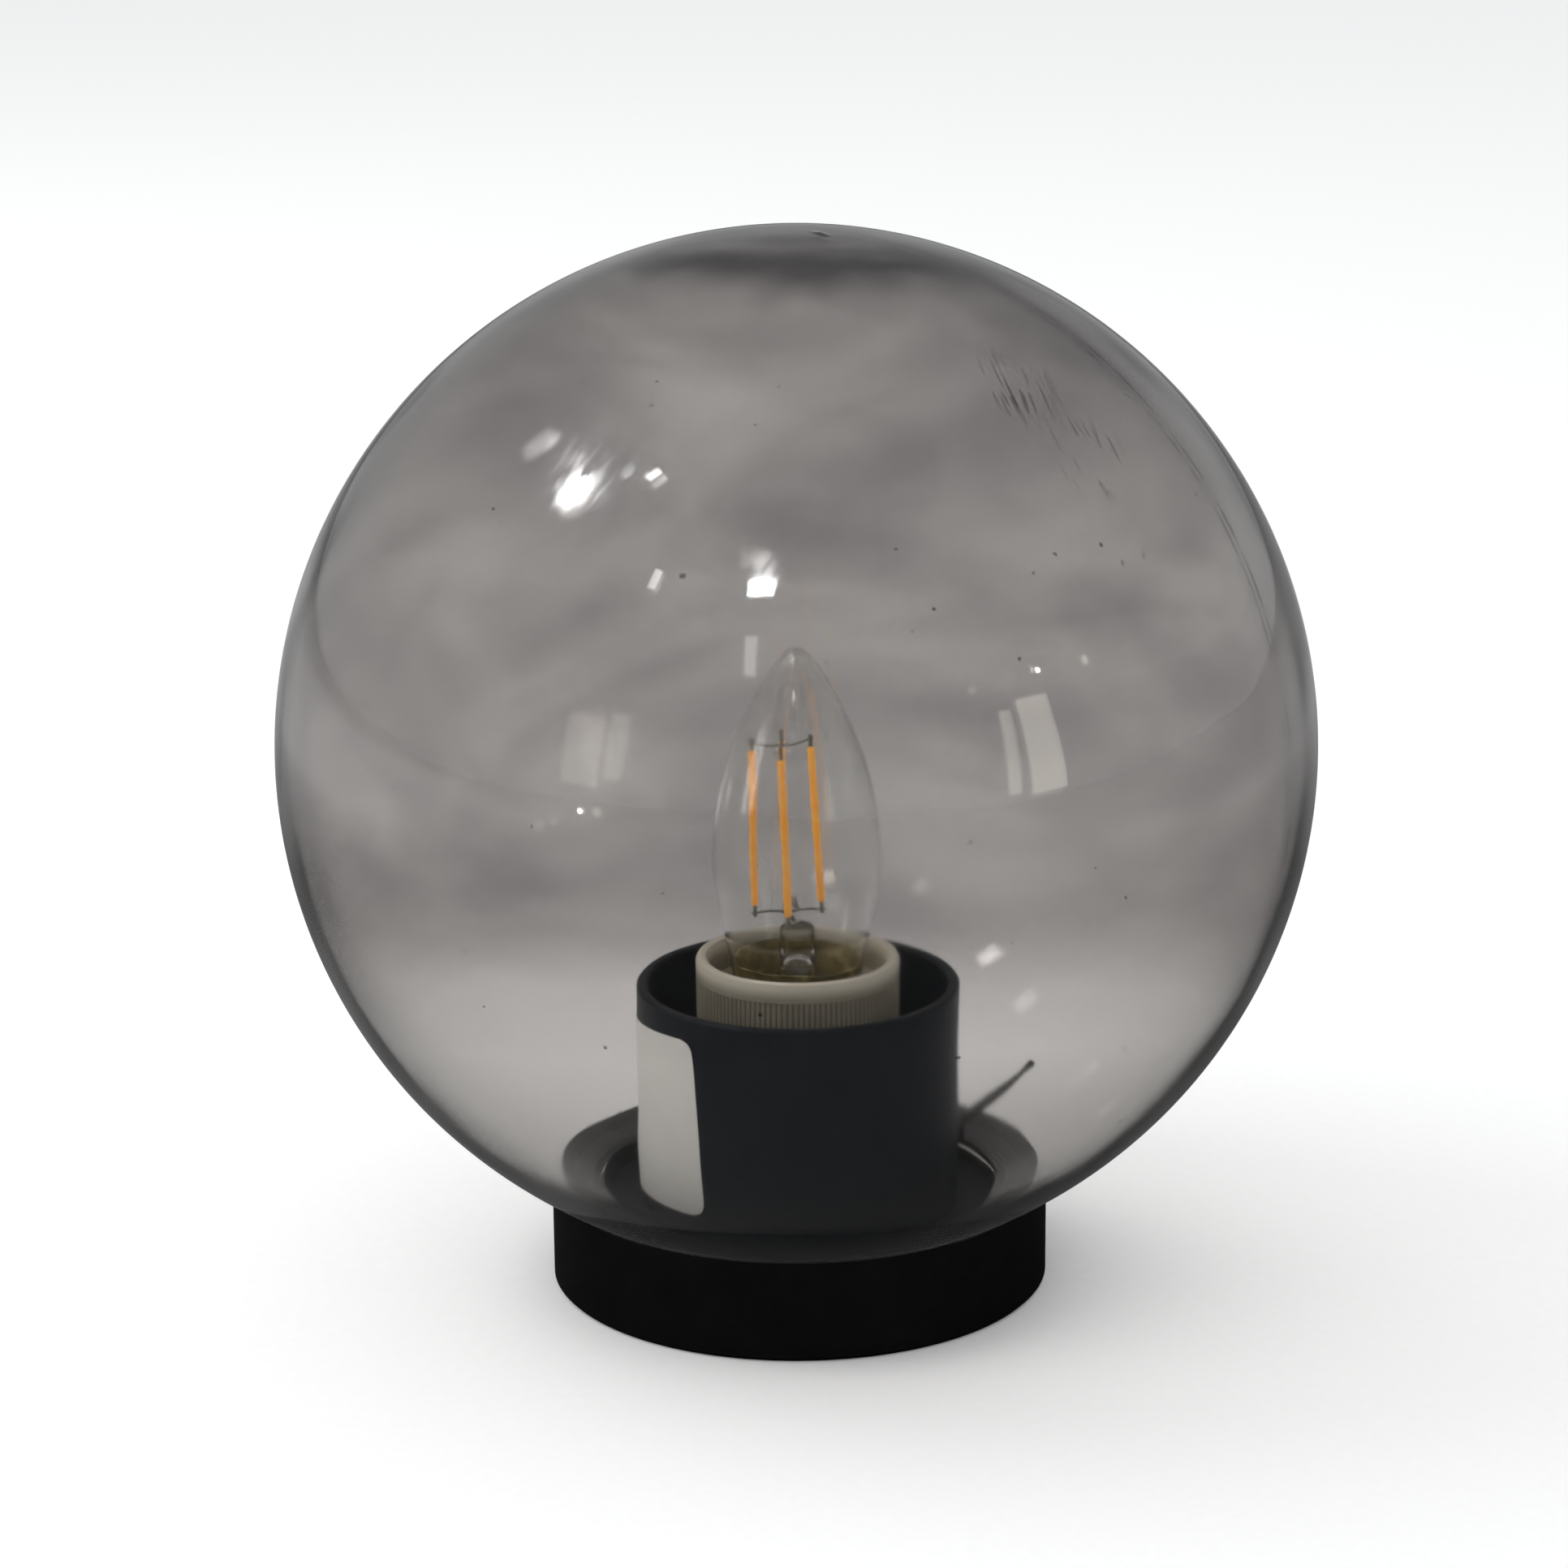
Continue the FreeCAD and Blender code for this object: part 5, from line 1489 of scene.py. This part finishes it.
def globe_finish():
    """Cloudy tints, paler below a slanting line as painted light, darker at the ring and the marks.

    Gloss is nearly sharp, but for haze and the streaks of the smears. The wall's own grey is an
    absorbing volume, and shadow rays pass the globe as a tinted sheet.
    """
    material, tree, place = new_material("smoked_acrylic")
    x, y, z = split(tree, place)
    seam, seam_shade = seam_masks(tree, place, x, z)
    cloud = noise(tree, stretched(tree, place, (1.0, 1.0, 2.2)), 11.0, 3.0, 0.45, 0.8)
    # Painted light: below a line that slants with y the tint turns paler, standing in for a
    # brighter table seen through the lower globe.
    painted_light_level = scaled(tree, cloud, 20 * MM, scaled(tree, y, PAINTED_LIGHT_SLOPE, z))
    painted_light_below = ramp(tree, painted_light_level, PAINTED_LIGHT_Z + 12 * MM, PAINTED_LIGHT_Z - 10 * MM)
    ring = times(tree, ring_mask(tree, place, x, y, z), 0.75)
    marks = times(tree, dark_marks(tree, place, seam), 0.85)
    tint = colour_mix(tree, ramp(tree, cloud, 0.36, 0.64),
                      (0.43, 0.415, 0.415), (0.64, 0.625, 0.61))
    for share, colour in ((painted_light_below, (0.80, 0.79, 0.775)), (ring, (0.06, 0.062, 0.066)),
                          (seam_shade, (0.20, 0.19, 0.19)), (marks, (0.02, 0.02, 0.02))):
        tint = colour_mix(tree, share, tint, colour)
    rough = scaled(tree, ramp(tree, noise(tree, place, 30.0, 2.0), 0.45, 0.8), 0.05, 0.03)
    wiped = stretched(tree, place, (1.0, 5.0, 5.0), (0, 0.65, 0), "TEXTURE")
    streaks = ramp(tree, noise(tree, wiped, 800.0, 1.0), 0.3, 0.7)
    for pixel, reach, depth in SMEARS:
        near = near_pixel(tree, place, pixel, reach, 0.3)
        rough = scaled(tree, times(tree, near, streaks), depth, rough)
    set_shader(tree, Base_Color=tint, Roughness=rough, Transmission_Weight=1.0, IOR=1.49,
               Sheen_Weight=0.08, Sheen_Roughness=0.3,
               Normal=bump(tree, noise(tree, place, 26.0, 1.0, 0.4), 0.6, 1.2 * MM))
    fog = new_node(tree, "VolumeAbsorption", {"Color": (0.40, 0.36, 0.36), "Density": 60.0})
    feed(tree, tree.nodes["Material Output"].inputs["Volume"], fog["Volume"])
    let_light_in(tree, (0.93, 0.925, 0.92))
    return material


stands_for(globe, "globe", globe_finish())

# %% [markdown]
# ## Studio floor
# The floor is only there to hold the shadow and to fill the picture, so it is plain and pale, and
# runs far past the picture. Off the globe's near wall its middle looks dark, as if black cloth
# lay round the light, for the same reason as the sky's flags.

# %% Floor
FLOOR_REACH = 12.0
CLOTH_EDGE = 0.30
CLOTH_END = 0.60


def build_floor():
    """A square. Off the near wall its grey grows with the distance: the root of place dot place."""
    mesh = bpy.data.meshes.new("studio_floor")
    corners = np.array([(-1, -1, 0), (1, -1, 0), (1, 1, 0), (-1, 1, 0)]) * FLOOR_REACH
    mesh.from_pydata(corners, [], [(0, 1, 2, 3)])
    floor = new_piece("studio_floor", mesh)
    material, tree, place = new_material("pale_floor")
    pale = colour_mix(tree, noise(tree, place, 400.0, 3.0),
                      (0.90, 0.90, 0.895), (0.94, 0.94, 0.935))
    distance = maths(tree, "POWER", vector_maths(tree, "DOT_PRODUCT", place, place), 0.5)
    in_mirror = colour_mix(tree, ramp(tree, distance, CLOTH_EDGE, CLOTH_END),
                           (0.15, 0.15, 0.15), (0.85, 0.85, 0.85))
    set_shader(tree, Base_Color=colour_mix(tree, off_front_wall(tree), pale, in_mirror),
               Roughness=0.9, Specular_IOR_Level=0.1)
    floor.data.materials.append(material)
    return floor


build_floor()

# %% Update the view layer
bpy.context.view_layer.update()
